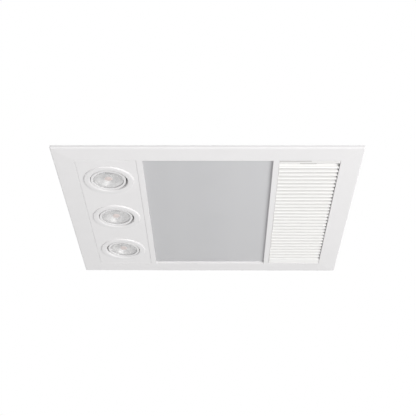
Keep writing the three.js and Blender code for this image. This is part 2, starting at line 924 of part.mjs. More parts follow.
// Height of the reflector's inner face at a distance from the middle ridge
function troughHeightAt(x) {
  const fromCentre = Math.abs(Math.abs(x) - troughHalf) / troughHalf;
  const share = Math.max(0, (fromCentre - troughFlatShare) / (1 - troughFlatShare));
  const drop = Math.abs(x) > troughHalf ? troughHeight * troughSideShare : ridgeHeight;
  return troughTop - drop * share ** 2;
}

function reflectorTray() {
  const rimZ = troughTop - troughHeight;
  const across = [];
  for (let step = -2 * troughSteps; step <= 2 * troughSteps; step += 1) {
    across.push((step * troughHalf) / troughSteps);
  }
  const edge = 2 * troughHalf;
  const t = reflectorSheet;
  const lower = across.map((x) => [x, troughHeightAt(x)]);
  const upper = across.map((x) => [x, troughHeightAt(x) + t]).reverse();
  upper[0] = [edge + t, upper[0][1]];
  upper[upper.length - 1] = [-edge - t, upper[upper.length - 1][1]];
  const leftFoot = [[-edge - t, rimZ], [-edge, rimZ]];
  const rightFoot = [[edge, rimZ], [edge + t, rimZ]];
  const outline = [...leftFoot, ...lower, ...rightFoot, ...upper];
  const y = openingHalf - reflectorInset;
  const sheetBody = prismAlong(outline, t / 2 - y, y - t / 2);
  const wall = block(-edge - t, edge + t, y - t, y, rimZ, trayRoof - t / 2);
  const foot = block(-edge - t, edge + t, y - reflectorFoot, y, trayRoof - t, trayRoof);
  const windowZ = troughTop + 2 * t;
  const window = block(-edge / 2, edge / 2, y - 2 * t, y + t, windowZ, trayRoof - reflectorFoot);
  const end = cut(joined([wall, foot]), [window]);
  const tray = joined([sheetBody, end, end.mirror([0, 1, 0])]);
  return tray.translate([glassMiddle, 0, 0]);
}

function heatingTube() {
  const wallY = openingHalf - reflectorInset - reflectorSheet;
  const glassEnd = wallY - holderDepth - seatGap;
  const endY = glassEnd + tubeEndLength;
  const tube = rod([0, -glassEnd, 0], [0, glassEnd, 0], tubeRadius, barrelSides / 2);
  const ends = rod([0, -endY, 0], [0, endY, 0], tubeEndRadius, barrelSides / 2);
  return joined([tube, ends]);
}

function tubeHolder() {
  const wallY = openingHalf - reflectorInset - reflectorSheet;
  const front = wallY - holderDepth;
  const half = holderHeight / 2;
  const chamfer = holderWidth / 5;
  const profile = [
    [-holderWidth / 2, -half],
    [holderWidth / 2, -half],
    [holderWidth / 2, half - chamfer],
    [holderWidth / 2 - chamfer, half],
    [chamfer - holderWidth / 2, half],
    [-holderWidth / 2, half - chamfer],
  ];
  const bore = rod(
    [0, front - overrun, 0],
    [0, wallY - holderFloor / 2, 0],
    tubeEndRadius + seatGap,
    barrelSides / 2,
  );
  return cut(prismAlong(profile, front, wallY), [bore]);
}

function thermalCutout() {
  const seat = troughTop + reflectorSheet;
  const cap = rod([0, 0, seat], [0, 0, seat + cutoutHeight], cutoutRadius, barrelSides / 2);
  const tabs = [-1, 1].map((side) => {
    const x = (side * cutoutRadius) / 2;
    return block(
      x - cutoutTabThickness / 2,
      x + cutoutTabThickness / 2,
      -cutoutTabWidth / 2,
      cutoutTabWidth / 2,
      seat + cutoutHeight / 2,
      seat + cutoutHeight + cutoutTabHeight,
    );
  });
  return joined([cap, ...tabs]);
}

function addHeater() {
  addPiece('heater_glass', heaterGlass(), frostedGlass);
  addPiece('glass_gasket', glassGasket(), gasketRubber);
  const rail = glassRail();
  const railRight = addPiece('glass_rail_right', rail, zincSteel);
  railRight.position.x = glassMiddle;
  const railLeft = addPiece('glass_rail_left', rail, zincSteel);
  railLeft.position.x = glassMiddle;
  railLeft.rotation.z = Math.PI;
  addPiece('reflector_tray', reflectorTray(), brightAluminium);
  const tube = heatingTube();
  const holder = tubeHolder();
  [-1, 1].forEach((side, i) => {
    const group = groupAt(glassMiddle + side * troughHalf, 0, tubeZ);
    addPiece(`heating_tube_${i + 1}`, tube, rubyQuartz, group);
    addPiece(`tube_holder_${i + 1}_far`, holder, ceramic, group);
    const near = addPiece(`tube_holder_${i + 1}_near`, holder, ceramic, group);
    near.rotation.z = Math.PI;
  });
  const cutout = addPiece('thermal_cutout', thermalCutout(), blackPlastic);
  cutout.position.set(glassMiddle - troughHalf, cutoutY, 0);
}

// Exhaust grille: inclined slats under three ribs, tapered at the right, hinged at the far bar
function grilleSlats() {
  const x0 = grilleLeft + seamGap;
  const x1 = grilleRight - slatEndGap;
  const firstEdge = seamGap - openingHalf + grilleFirstSlat + slatPitch;
  const slats = [];
  for (let i = 0; i < slatCount; i += 1) {
    const y = firstEdge + i * slatPitch;
    const profile = [
      [y - slatThickness, faceZ],
      [y, faceZ],
      [y - slatLean, faceZ + slatRise],
      [y - slatLean - slatThickness, faceZ + slatRise],
    ];
    slats.push(prismAcross(profile, x0, x1));
  }
  const top = faceZ + slatRise;
  const trimmed = [
    [x0, faceZ],
    [x1, faceZ],
    [x1 - slatEndTaper, faceZ + slatTaperRise],
    [x1 - slatEndTaper, top],
    [x0, top],
  ];
  return slats.map((slat) => slat.intersect(prismAlong(trimmed, -openingHalf, openingHalf)));
}

// Section of the far bar: a flat strip with a round nose at the hinge and an upright wall
function farBarOutline(farStart, barTop) {
  const [hingeY, hingeZ] = hingeLine();
  const outline = [[farStart, faceZ]];
  for (let step = 0; step <= 2 * arcSteps; step += 1) {
    const angle = Math.PI * (step / (2 * arcSteps) - 1 / 2);
    const y = hingeY + hingeNose * Math.cos(angle);
    outline.push([y, hingeZ + hingeNose * Math.sin(angle)]);
  }
  const wallY = farStart + farWall;
  outline.push([wallY, faceZ + 2 * hingeNose], [wallY, barTop], [farStart, barTop]);
  return outline;
}

function exhaustGrille() {
  const [hingeY, hingeZ] = hingeLine();
  const x0 = grilleLeft + seamGap;
  const x1 = grilleRight - seamGap;
  const nearY = seamGap - openingHalf;
  const barTop = faceZ + grilleBarHeight;
  const slatsEnd = nearY + grilleFirstSlat + slatCount * slatPitch;
  const farStart = slatsEnd + farGap;
  const nearBar = block(x0, x1, nearY, nearY + grilleNearBar, faceZ, barTop);
  const farBar = prismAcross(farBarOutline(farStart, barTop), x0, x1);
  const ribZ = faceZ + grilleRibFoot;
  const ribs = ribShares.map((share) => {
    const x = x0 + (x1 - x0) * share;
    const start = nearY + grilleNearBar / 2;
    const end = farStart + farWall / 2;
    return block(x - grilleRib / 2, x + grilleRib / 2, start, end, ribZ, barTop);
  });
  const tabX = grilleLeft + tabOffset;
  const tabY = nearY + grilleNearBar;
  const tabZ = faceZ + tabRecess;
  const tab = block(tabX, tabX + tabWidth, tabY, tabY + tabReach, tabZ, tabZ + tabThickness);
  const pinStart = [grilleLeft - hingePinBite, hingeY, hingeZ];
  const pinEnd = [grilleRight + hingePinBite, hingeY, hingeZ];
  const pins = rod(pinStart, pinEnd, hingePinRadius, smallSides);
  return joined([nearBar, farBar, ...ribs, tab, pins, ...grilleSlats()]);
}

// Housing tray: an open steel box with a flange under the ceiling board
function housingTray() {
  const flangeX = trayHalfX + trayFlange;
  const flangeY = trayHalfY + trayFlange;
  const box = block(-trayHalfX, trayHalfX, -trayHalfY, trayHalfY, ceilingZ - sheet, trayTop);
  const flange = block(-flangeX, flangeX, -flangeY, flangeY, ceilingZ - sheet, ceilingZ);
  const hollow = block(
    sheet - trayHalfX,
    trayHalfX - sheet,
    sheet - trayHalfY,
    trayHalfY - sheet,
    ceilingZ - overrun,
    trayRoof,
  );
  const inlet = rod(
    [scrollX, scrollY, trayRoof - overrun],
    [scrollX, scrollY, trayTop + overrun],
    inletRadius,
    roundSides,
  );
  const screwHoles = clampPlaces().map(([x, y]) =>
    rod([x, y, ceilingZ - overrun], [x, y, ceilingZ + overrun], screwRadius + seatGap, smallSides),
  );
  const slotZ = ceilingZ + hookRise - seatGap;
  const slotTop = slotZ + barbHeight + 2 * seatGap;
  const slotHalf = hookWidth / 2 + seatGap;
  const slots = [-hookOffset, hookOffset].map((x) =>
    block(x - slotHalf, x + slotHalf, -trayHalfY - overrun, trayHalfY + overrun, slotZ, slotTop),
  );
  const swages = swageShares.map((share) => {
    const y = trayHalfY * share;
    const x = -trayHalfX / 2;
    return block(
      x - swageLength / 2,
      x + swageLength / 2,
      y - swageWidth / 2,
      y + swageWidth / 2,
      trayTop - sheet / 2,
      trayTop + swageHeight,
    );
  });
  const body = cut(joined([box, flange]), [hollow, inlet, ...screwHoles, ...slots]);
  return joined([body, ...swages]);
}

// Scroll housing: a spiral wall that widens towards the mouth, with a floor and a roof
function scrollOutline(inset, mouth) {
  const points = [[throatLeft + inset, mouth]];
  const reach = throatLeft + inset - scrollX;
  const startAngle = Math.acos(reach / (scrollStart - inset));
  for (let step = 0; step <= spiralSteps; step += 1) {
    const share = step / spiralSteps;
    const angle = startAngle + (2 * Math.PI - startAngle) * share;
    const radius = scrollStart + scrollGrowth * share - inset;
    points.push([scrollX + radius * Math.cos(angle), scrollY + radius * Math.sin(angle)]);
  }
  points.push([throatRight - inset, mouth]);
  return points;
}

function scrollHousing() {
  const outer = prismUp(scrollOutline(0, mouthY), trayTop, scrollTop);
  const inner = prismUp(scrollOutline(sheet, mouthY + overrun), scrollFloor, scrollRoof);
  const inlet = rod(
    [scrollX, scrollY, trayTop - overrun],
    [scrollX, scrollY, scrollFloor + overrun],
    inletRadius,
    roundSides,
  );
  const motorHole = rod(
    [scrollX, scrollY, scrollRoof - overrun],
    [scrollX, scrollY, scrollTop + overrun],
    motorSpigot + seatGap,
    roundSides,
  );
  const shell = cut(outer, [inner, inlet, motorHole]);
  const feet = scrollFootAngles.map((degrees) => {
    const radius = scrollStart - sheet;
    const foot = block(
      radius,
      scrollEnd + scrollFootReach,
      -scrollFootWidth / 2,
      scrollFootWidth / 2,
      trayTop,
      scrollFloor,
    );
    return foot.rotate([0, 0, degrees]).translate([scrollX, scrollY, 0]);
  });
  const tidyFeet = feet.map((foot) => {
    const limit = trayHalfX - sheet;
    return foot.intersect(block(-limit, limit, -trayHalfY, trayHalfY, trayTop, scrollFloor));
  });
  const clear = rod(
    [scrollX, scrollY, trayTop - overrun],
    [scrollX, scrollY, scrollFloor + overrun],
    inletRadius,
    roundSides,
  );
  return cut(joined([shell, ...tidyFeet]), [clear]);
}

// Inlet ring: a bell mouth that leads the air into the impeller
function inletRing() {
  const z0 = scrollFloor;
  const t = inletSheet;
  const waist = inletLip + t / 3;
  const body = turned(
    [
      [inletLip, z0 + inletRise],
      [waist, z0 + inletRise / 2],
      [inletRadius - t, z0],
      [inletRadius + inletFlange, z0],
      [inletRadius + inletFlange, z0 + t],
      [inletRadius, z0 + t],
      [waist + t, z0 + inletRise / 2],
      [inletLip + t, z0 + inletRise],
    ],
    roundSides,
  );
  return body.translate([scrollX, scrollY, 0]);
}

// Impeller: forward-curved blades between a ring and a plate, with a hub for the shaft
function bladeOutline() {
  const inner = impellerRadius - bladeLength;
  const lead = radians(bladeSweep);
  const front = [];
  const back = [];
  for (let step = 0; step <= bladeSteps; step += 1) {
    const share = step / bladeSteps;
    const radius = inner + bladeLength * share;
    const angle = lead * share ** 2;
    const half = bladeThickness / 2 / radius;
    back.push([radius * Math.cos(angle - half), radius * Math.sin(angle - half)]);
    front.push([radius * Math.cos(angle + half), radius * Math.sin(angle + half)]);
  }
  return [...back, ...front.reverse()];
}

function impeller() {
  const bottom = scrollFloor + impellerBelow;
  const inner = impellerRadius - bladeLength;
  const plate = turned(
    [
      [shaftRadius + seatGap, impellerTop - hubHeight],
      [hubRadius, impellerTop - hubHeight],
      [hubRadius, impellerTop - impellerPlate],
      [impellerRadius, impellerTop - impellerPlate],
      [impellerRadius, impellerTop],
      [shaftRadius + seatGap, impellerTop],
    ],
    roundSides,
  );
  const ring = turned(
    [
      [inner + bladeLength / 3, bottom],
      [impellerRadius, bottom],
      [impellerRadius, bottom + impellerRing],
      [inner + bladeLength / 3, bottom + impellerRing],
    ],
    roundSides,
  );
  const blade = prismUp(bladeOutline(), bottom, impellerTop - impellerPlate / 2);
  const blades = [];
  for (let i = 0; i < bladeCount; i += 1) {
    blades.push(blade.rotate([0, 0, (360 * i) / bladeCount]));
  }
  return joined([plate, ring, ...blades]);
}

function motorShaft() {
  const top = scrollRoof - motorSpigotDrop + shaftBite;
  return rod([0, 0, impellerTop - hubHeight], [0, 0, top], shaftRadius, smallSides);
}

// Fan motor: a vented can on the scroll's roof with a spigot that passes through it
function fanMotor() {
  const crown = scrollTop + motorHeight;
  const bottom = scrollRoof - motorSpigotDrop;
  const bore = shaftRadius + seatGap;
  const shaftTop = bottom + shaftBite + seatGap;
  const body = turned(
    [
      [0, bottom],
      [motorSpigot, bottom],
      [motorSpigot, scrollTop],
      [motorRadius + motorFlange, scrollTop],
      [motorRadius + motorFlange, scrollTop + motorFlangeThickness],
      [motorRadius, scrollTop + motorFlangeThickness],
      [motorRadius, crown - motorCrown],
      [motorRadius - motorCrown, crown],
      [motorBossRadius, crown],
      [motorBossRadius - motorCrown / 2, crown + motorBossHeight],
      [0, crown + motorBossHeight],
    ],
    roundSides,
  );
  const shaftHole = rod([0, 0, bottom - overrun], [0, 0, shaftTop], bore, smallSides);
  const ventZ = scrollTop + motorFlangeThickness + motorCrown;
  const vents = [];
  for (let i = 0; i < motorVentCount; i += 1) {
    const vent = block(
      motorRadius - motorVentDepth,
      motorRadius + overrun,
      -motorVentWidth / 2,
      motorVentWidth / 2,
      ventZ,
      ventZ + motorVentHeight,
    );
    vents.push(vent.rotate([0, 0, (360 * i) / motorVentCount]));
  }
  return cut(body, [shaftHole, ...vents]);
}

function addFan() {
  addPiece('scroll_housing', scrollHousing(), galvanised);
  addPiece('inlet_ring', inletRing(), zincSteel);
  addPiece('impeller', impeller(), whitePlastic).position.set(scrollX, scrollY, 0);
  addPiece('motor_shaft', motorShaft(), springSteel).position.set(scrollX, scrollY, 0);
  addPiece('fan_motor', fanMotor(), paintedSteel).position.set(scrollX, scrollY, 0);
}

// Duct adaptor: a square sleeve in the scroll's mouth that turns into a round collar
const adaptorLeft = throatLeft + sheet + seatGap;
const adaptorRight = throatRight - sheet - seatGap;
const adaptorBottom = scrollFloor + seatGap;
const adaptorRoof = scrollRoof - seatGap;
const adaptorMiddle = (adaptorLeft + adaptorRight) / 2;
const collarZ = adaptorBottom + collarRadius + collarBead;
const collarX = adaptorMiddle - collarShift;
const collarStart = mouthY + adaptorSquare + adaptorBlend;
const collarEnd = collarStart + collarLength;
const flapAxisY = mouthY + flapOffset;
const flapAxisZ = adaptorRoof - adaptorWall - flapHang;

// A ring of points round an X and Z section at a place along Y
function uprightRing(centreX, centreZ, width, height, radius, y) {
  const outline = roundedRectangle(height, width, radius, collarSteps);
  return outline.map(([z, x]) => [centreX + x, y, centreZ + z]);
}

function adaptorSection(inset, start, end) {
  const width = adaptorRight - adaptorLeft - 2 * inset;
  const height = adaptorRoof - adaptorBottom - 2 * inset;
  const middleZ = (adaptorRoof + adaptorBottom) / 2;
  const corner = 2 * adaptorWall - inset;
  const round = 2 * (collarRadius - inset);
  const bend = mouthY + adaptorSquare;
  return lofted([
    uprightRing(adaptorMiddle, middleZ, width, height, corner, start),
    uprightRing(adaptorMiddle, middleZ, width, height, corner, bend),
    uprightRing(collarX, collarZ, round, round, round / 2, collarStart),
    uprightRing(collarX, collarZ, round, round, round / 2, end),
  ]);
}

function ductAdaptor() {
  const start = mouthY - adaptorBite;
  const outer = adaptorSection(0, start, collarEnd - collarBeadWidth / 2);
  const beadRadius = collarRadius + collarBead;
  const beadStart = [collarX, collarEnd - collarBeadWidth, collarZ];
  const bead = rod(beadStart, [collarX, collarEnd, collarZ], beadRadius, 4 * collarSteps);
  const inner = adaptorSection(adaptorWall, start - overrun, collarEnd + overrun);
  const pinHole = rod(
    [adaptorLeft - overrun, flapAxisY, flapAxisZ],
    [adaptorRight + overrun, flapAxisY, flapAxisZ],
    flapPinRadius + seatGap,
    smallSides,
  );
  const stopY = flapAxisY - flapThickness / 2 - seatGap;
  const stop = block(
    adaptorLeft + adaptorWall / 2,
    adaptorRight - adaptorWall / 2,
    stopY - flapThickness,
    stopY,
    adaptorBottom + adaptorWall / 2,
    adaptorBottom + adaptorWall + stopHeight,
  );
  return joined([cut(joined([outer, bead]), [inner, pinHole]), stop]);
}

function draughtFlap() {
  const x0 = adaptorLeft + adaptorWall + flapSideGap;
  const x1 = adaptorRight - adaptorWall - flapSideGap;
  const bottom = adaptorBottom + adaptorWall + flapSill;
  const half = flapThickness / 2;
  const plate = block(x0, x1, flapAxisY - half, flapAxisY + half, bottom, flapAxisZ);
  const knuckleStart = [x0, flapAxisY, flapAxisZ];
  const knuckle = rod(knuckleStart, [x1, flapAxisY, flapAxisZ], flapKnuckle, smallSides);
  const pinStart = [adaptorLeft, flapAxisY, flapAxisZ];
  const pin = rod(pinStart, [adaptorRight, flapAxisY, flapAxisZ], flapPinRadius, smallSides);
  return joined([plate, knuckle, pin]);
}

// Driver for the lamps, on the housing's top
function ledDriver() {
  const half = driverLength / 2;
  const z1 = trayTop + driverHeight;
  const shoulder = driverRound;
  const body = lofted([
    levelRing(driverWidth, driverLength, driverRound, trayTop),
    levelRing(driverWidth, driverLength, driverRound, z1 - shoulder),
    levelRing(driverWidth - shoulder, driverLength - shoulder, driverRound / 2, z1),
  ]);
  const earTop = trayTop + driverEarThickness;
  const earY = half + driverEar;
  const ears = block(-driverWidth / 4, driverWidth / 4, -earY, earY, trayTop, earTop);
  const hole = driverEar / 4;
  const holes = [-1, 1].map((side) => {
    const y = side * (half + driverEar / 2);
    return rod([0, y, trayTop - overrun], [0, y, earTop + overrun], hole, smallSides);
  });
  return cut(joined([body, ears]), holes);
}

// Terminal box with its lid, block and gland
function terminalBox() {
  const x = boxLength / 2;
  const y = boxWidth / 2;
  const top = trayTop + boxHeight;
  const floorZ = trayTop + boxWall;
  const hollow = block(boxWall - x, x - boxWall, boxWall - y, y - boxWall, floorZ, top + overrun);
  const glandZ = trayTop + glandHeight;
  const entryRadius = glandBody + seatGap;
  const entry = rod([-x - overrun, 0, glandZ], [overrun - x, 0, glandZ], entryRadius, roundSides / 2);
  return cut(block(-x, x, -y, y, trayTop, top), [hollow, entry]);
}

function terminalLid() {
  const x = boxLength / 2;
  const y = boxWidth / 2;
  const z0 = trayTop + boxHeight;
  const chamfer = lidThickness / 2;
  const cover = lofted([
    levelRing(boxLength, boxWidth, chamfer, z0),
    levelRing(boxLength, boxWidth, chamfer, z0 + lidThickness / 2),
    levelRing(boxLength - lidThickness, boxWidth - lidThickness, chamfer, z0 + lidThickness),
  ]);
  const inset = boxWall + seatGap;
  const plug = block(inset - x, x - inset, inset - y, y - inset, z0 - lidLap, z0 + lidThickness / 2);
  return joined([cover, plug]);
}

function terminalBlock() {
  const z0 = trayTop + boxWall;
  const x1 = blockLength / 2;
  const y1 = blockWidth / 2;
  const base = block(-x1, x1, -y1, y1, z0, z0 + blockHeight);
  const pitch = blockLength / blockPoles;
  const poles = [];
  for (let i = 0; i < blockPoles; i += 1) {
    const x = pitch * (i + 1 / 2) - x1;
    const poleTop = z0 + blockHeight + blockPoleHeight;
    const half = blockPoleWidth / 2;
    poles.push(block(x - half, x + half, -half, half, z0 + blockHeight / 2, poleTop));
  }
  return joined([base, ...poles]);
}

function cableGland() {
  const wall = -boxLength / 2;
  const start = wall + boxWall + glandInside;
  const nutEnd = wall - glandNutHeight;
  const domeEnd = nutEnd - glandDome;
  const body = rod([start, 0, 0], [nutEnd, 0, 0], glandBody, roundSides / 2);
  const nut = rod([wall, 0, 0], [nutEnd, 0, 0], glandNutRadius, nutSides);
  const domeRadius = (glandBody + glandNutRadius) / 2;
  const dome = rod([nutEnd, 0, 0], [domeEnd, 0, 0], domeRadius, smallSides);
  const bore = rod([start + overrun, 0, 0], [domeEnd - overrun, 0, 0], glandBore, smallSides);
  return cut(joined([body, nut, dome]), [bore]);
}

function addElectrics() {
  addPiece('led_driver', ledDriver(), whitePlastic).position.set(driverX, driverY, 0);
  addPiece('terminal_box', terminalBox(), greyPlastic).position.set(boxX, boxY, 0);
  addPiece('terminal_box_lid', terminalLid(), greyPlastic).position.set(boxX, boxY, 0);
  addPiece('terminal_block', terminalBlock(), whitePlastic).position.set(boxX, boxY, 0);
  const gland = addPiece('cable_gland', cableGland(), blackPlastic);
  gland.position.set(boxX, boxY, trayTop + glandHeight);
}

// Ceiling clamps: an arm on a long screw at each corner, parked along the tray's wall
function clampPlaces() {
  const y = trayHalfY + clampStandoff;
  return [
    [-clampX, y],
    [clampX, y],
    [-clampX, -y],
    [clampX, -y],
  ];
}

function clampScrew() {
  const underside = ceilingZ - sheet;
  const chamfer = screwHeadHeight / 3;
  const slotWidth = screwRadius / 2;
  const body = turned(
    [
      [0, underside - screwHeadHeight],
      [screwHeadRadius - chamfer, underside - screwHeadHeight],
      [screwHeadRadius, underside - screwHeadHeight + chamfer],
      [screwHeadRadius, underside],
      [screwRadius, underside],
      [screwRadius, underside + screwLength - screwRadius],
      [screwRadius / 2, underside + screwLength],
      [0, underside + screwLength],
    ],
    smallSides,
  );
  const slotBottom = underside - screwHeadHeight;
  const slot = block(
    -screwHeadRadius,
    screwHeadRadius,
    -slotWidth / 2,
    slotWidth / 2,
    slotBottom - overrun,
    slotBottom + screwHeadHeight / 2,
  );
  return cut(body, [slot]);
}

function clampArm() {
  const z0 = ceilingZ + armPark;
  const tip = armLength;
  const half = armTipWidth / 2;
  const hub = [];
  for (let step = 0; step <= 2 * arcSteps; step += 1) {
    const angle = Math.PI / 2 + (Math.PI * step) / (2 * arcSteps);
    hub.push([armHub * Math.cos(angle), armHub * Math.sin(angle)]);
  }
  const outline = [...hub, [tip, -half], [tip, half]];
  const bar = prismUp(outline, z0, z0 + armThickness);
  const toe = block(tip - armThickness, tip, -half, half, z0 - armToe, z0 + armThickness / 2);
  const boreTop = z0 + armThickness + overrun;
  const bore = rod([0, 0, z0 - overrun], [0, 0, boreTop], screwRadius + seatGap, smallSides);
  return cut(joined([bar, toe]), [bore]);
}

function addClamps() {
  const screw = clampScrew();
  const arm = clampArm();
  clampPlaces().forEach(([x, y], i) => {
    const group = groupAt(x, y, 0);
    group.rotation.z = y > 0 ? 0 : Math.PI;
    addPiece(`clamp_screw_${i + 1}`, screw, zincSteel, group);
    addPiece(`ceiling_clamp_${i + 1}`, arm, whitePlastic, group);
  });
}

addPiece('fascia_frame', fasciaFrame(), whiteFascia);
addPiece('light_plate', lightPlate(), whiteFascia);
addLamps();
addHeater();
addPiece('exhaust_grille', exhaustGrille(), whiteGrille);
addPiece('housing_tray', housingTray(), galvanised);
addFan();
addPiece('duct_adaptor', ductAdaptor(), blackPlastic);
addPiece('draught_flap', draughtFlap(), greyPlastic);
addElectrics();
addClamps();

export default unit;
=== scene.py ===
import json
import math

import bmesh
import bpy
from mathutils import Matrix, Vector


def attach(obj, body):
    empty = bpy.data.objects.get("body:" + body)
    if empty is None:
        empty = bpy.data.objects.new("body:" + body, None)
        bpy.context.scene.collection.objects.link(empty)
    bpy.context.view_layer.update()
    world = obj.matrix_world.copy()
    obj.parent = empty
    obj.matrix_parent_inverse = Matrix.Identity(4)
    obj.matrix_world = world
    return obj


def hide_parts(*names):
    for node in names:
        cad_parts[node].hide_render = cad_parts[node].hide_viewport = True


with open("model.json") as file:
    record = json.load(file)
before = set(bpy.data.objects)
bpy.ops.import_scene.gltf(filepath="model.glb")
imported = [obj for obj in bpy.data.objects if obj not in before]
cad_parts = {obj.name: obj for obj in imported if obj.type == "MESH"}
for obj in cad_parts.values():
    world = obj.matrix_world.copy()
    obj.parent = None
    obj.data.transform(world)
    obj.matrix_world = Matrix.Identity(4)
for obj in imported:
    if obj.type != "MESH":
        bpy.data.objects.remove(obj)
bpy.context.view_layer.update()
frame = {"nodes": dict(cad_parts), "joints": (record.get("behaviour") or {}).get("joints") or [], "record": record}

# Bathroom ceiling unit: the looks of the fascia, lamps, glass, grille, housing and fan.
# Lengths are typed in millimetres and brought to metres by the scale below. Only the room's own
# lengths, in the last section, are typed in metres.
MM = 0.001
nodes = frame["nodes"]
joint_places = {joint["name"]: Vector(joint["pos_m"]) for joint in frame["joints"] if "pos_m" in joint}

SLOT_OF = {entry["node"]: entry["material_slot"] for entry in frame["record"]["subparts"]}
BODY_OF = {member: body for body, members in frame["record"]["behaviour"]["bodies"].items()
           for member in members}

# Fineness of the round pieces
FINE = 96
MEDIUM = 48
SMALL = 24


# ---- helpers for node trees ----

def math_step(tree, operation, first, second=None):
    """One sum with one or two values, each a node's output or a plain number."""
    step = tree.nodes.new("ShaderNodeMath")
    step.operation = operation
    for target, value in zip(step.inputs, (first, second)):
        if isinstance(value, float):
            target.default_value = value
        elif value is not None:
            tree.links.new(value, target)
    return step.outputs[0]


def combined(tree, operation, values):
    result = values[0]
    for value in values[1:]:
        result = math_step(tree, operation, result, value)
    return result


def beyond(tree, value, limit):
    return math_step(tree, "GREATER_THAN", value, limit * MM)


def short_of(tree, value, limit):
    return math_step(tree, "LESS_THAN", value, limit * MM)


def between(tree, value, limits):
    """One where a length lies between two limits, and nothing elsewhere."""
    low, high = limits
    return math_step(tree, "MULTIPLY", beyond(tree, value, low), short_of(tree, value, high))


def object_axes(tree):
    """A point's X, Y and Z in its object."""
    place = tree.nodes.new("ShaderNodeTexCoord")
    split = tree.nodes.new("ShaderNodeSeparateXYZ")
    tree.links.new(place.outputs["Object"], split.inputs["Vector"])
    return [split.outputs[axis] for axis in "XYZ"]


def noise(tree, place, scale, detail):
    texture = tree.nodes.new("ShaderNodeTexNoise")
    texture.inputs["Scale"].default_value = scale
    texture.inputs["Detail"].default_value = detail
    tree.links.new(place, texture.inputs["Vector"])
    return texture.outputs["Fac"]


def two_tones(tree, share, dark, light, low=0.0, high=1.0):
    """A colour that goes from dark to light while the share goes from low to high."""
    ramp = tree.nodes.new("ShaderNodeValToRGB")
    for element, position, colour in zip(ramp.color_ramp.elements, (low, high), (dark, light)):
        element.position = position
        element.color = (*colour, 1)
    tree.links.new(share, ramp.inputs["Fac"])
    return ramp.outputs["Color"]


def graded(tree, value, reach, stops, interpolation="LINEAR"):
    """Levels of grey at (share of the reach, level) stops, for a length from nothing to its reach."""
    band = tree.nodes.new("ShaderNodeMapRange")
    band.inputs["From Max"].default_value = reach * MM
    tree.links.new(value, band.inputs["Value"])
    ramp = tree.nodes.new("ShaderNodeValToRGB")
    ramp.color_ramp.interpolation = interpolation
    elements = ramp.color_ramp.elements
    for i, (position, level) in enumerate(stops):
        element = elements[0] if i == 0 else elements.new(position)
        element.position = position
        element.color = (level, level, level, 1)
    tree.links.new(band.outputs["Result"], ramp.inputs["Fac"])
    return ramp.outputs["Color"]


# ---- materials ----

MOTTLE_DETAIL = 3.0
MOTTLE_RANGE = (0.35, 0.65)
GRAIN_DETAIL = 2.0
GRAIN_DEPTH = 0.1

# The glass: where its painted light from the tubes behind it lies, counted from its middle
GLASS_GREY = (0.535, 0.535, 0.545)
PAINTED_GLOW_GREY = (0.552, 0.552, 0.56)
PAINTED_GLOW_MIDDLE_X = 0.5
PAINTED_GLOW_REACH = 100
PAINTED_GLOW_STOPS = ((0.0, 0.0), (0.25, 0.25), (0.5, 1.0), (0.75, 0.35), (1.0, 0.0))

# The grille's painted shade: how much grey its white takes by height, and where along it
GRILLE_WHITE = (0.898, 0.891, 0.877)
GRILLE_SHADE_GREY = (0.50, 0.485, 0.47)
SHADE_HEIGHT = 10
SHADE_STOPS = ((0.0, 0.34), (0.035, 0.34), (0.05, 0.0), (0.25, 0.0), (0.36, 0.26), (1.0, 0.26))
SLAT_SHADE_Y = (-157.3, 162)
TAB_SHADE_Y = (-168.5, -165.0)
TAB_SHADE_Z = (1.1, 3.4)
SEAM_SHADE_Y = -173.3
SEAM_SHADE_END_X = 160
NEAR_BAR_SHADE_Y = -163
NEAR_BAR_SHADE = 0.2

# Galvanised sheet: how many crystals lie along a metre, and their greys
CRYSTALS = 90.0
CRYSTAL_DARK = (0.45, 0.46, 0.47)
CRYSTAL_LIGHT = (0.55, 0.56, 0.57)


def finish(name, colour, roughness=0.4, metallic=0.0, coat=0.0, alpha=1.0, shine=0.5,
           grain=0.0, grain_scale=400.0, mottle=0.03, mottle_scale=25.0):
    """A surface with a faint mottle in its colour and a fine grain in its relief."""
    material = bpy.data.materials.new(name)
    material.use_nodes = True
    tree = material.node_tree
    shader = tree.nodes["Principled BSDF"]
    settings = {"Roughness": roughness, "Metallic": metallic, "Alpha": alpha, "Coat Weight": coat,
                "Specular IOR Level": shine}
    for input_name, value in settings.items():
        shader.inputs[input_name].default_value = value
    place = tree.nodes.new("ShaderNodeTexCoord").outputs["Object"]
    dark = [c * (1 - mottle) for c in colour]
    light = [min(1.0, c * (1 + mottle)) for c in colour]
    spots = noise(tree, place, mottle_scale, MOTTLE_DETAIL)
    tree.links.new(two_tones(tree, spots, dark, light, *MOTTLE_RANGE), shader.inputs["Base Color"])
    if grain > 0:
        bump = tree.nodes.new("ShaderNodeBump")
        bump.inputs["Strength"].default_value = grain
        bump.inputs["Distance"].default_value = GRAIN_DEPTH * MM
        tree.links.new(noise(tree, place, grain_scale, GRAIN_DETAIL), bump.inputs["Height"])
        tree.links.new(bump.outputs["Normal"], shader.inputs["Normal"])
    return material


def tinted(material, share, colour):
    """The material with a colour mixed into its own by a share."""
    tree = material.node_tree
    base = tree.nodes["Principled BSDF"].inputs["Base Color"]
    mix = tree.nodes.new("ShaderNodeMix")
    mix.data_type = "RGBA"
    own, added = [part for part in mix.inputs if part.type == "RGBA"]
    result = [part for part in mix.outputs if part.type == "RGBA"][0]
    added.default_value = (*colour, 1)
    tree.links.new(share, mix.inputs["Factor"])
    tree.links.new(base.links[0].from_socket, own)
    tree.links.new(result, base)
    return material


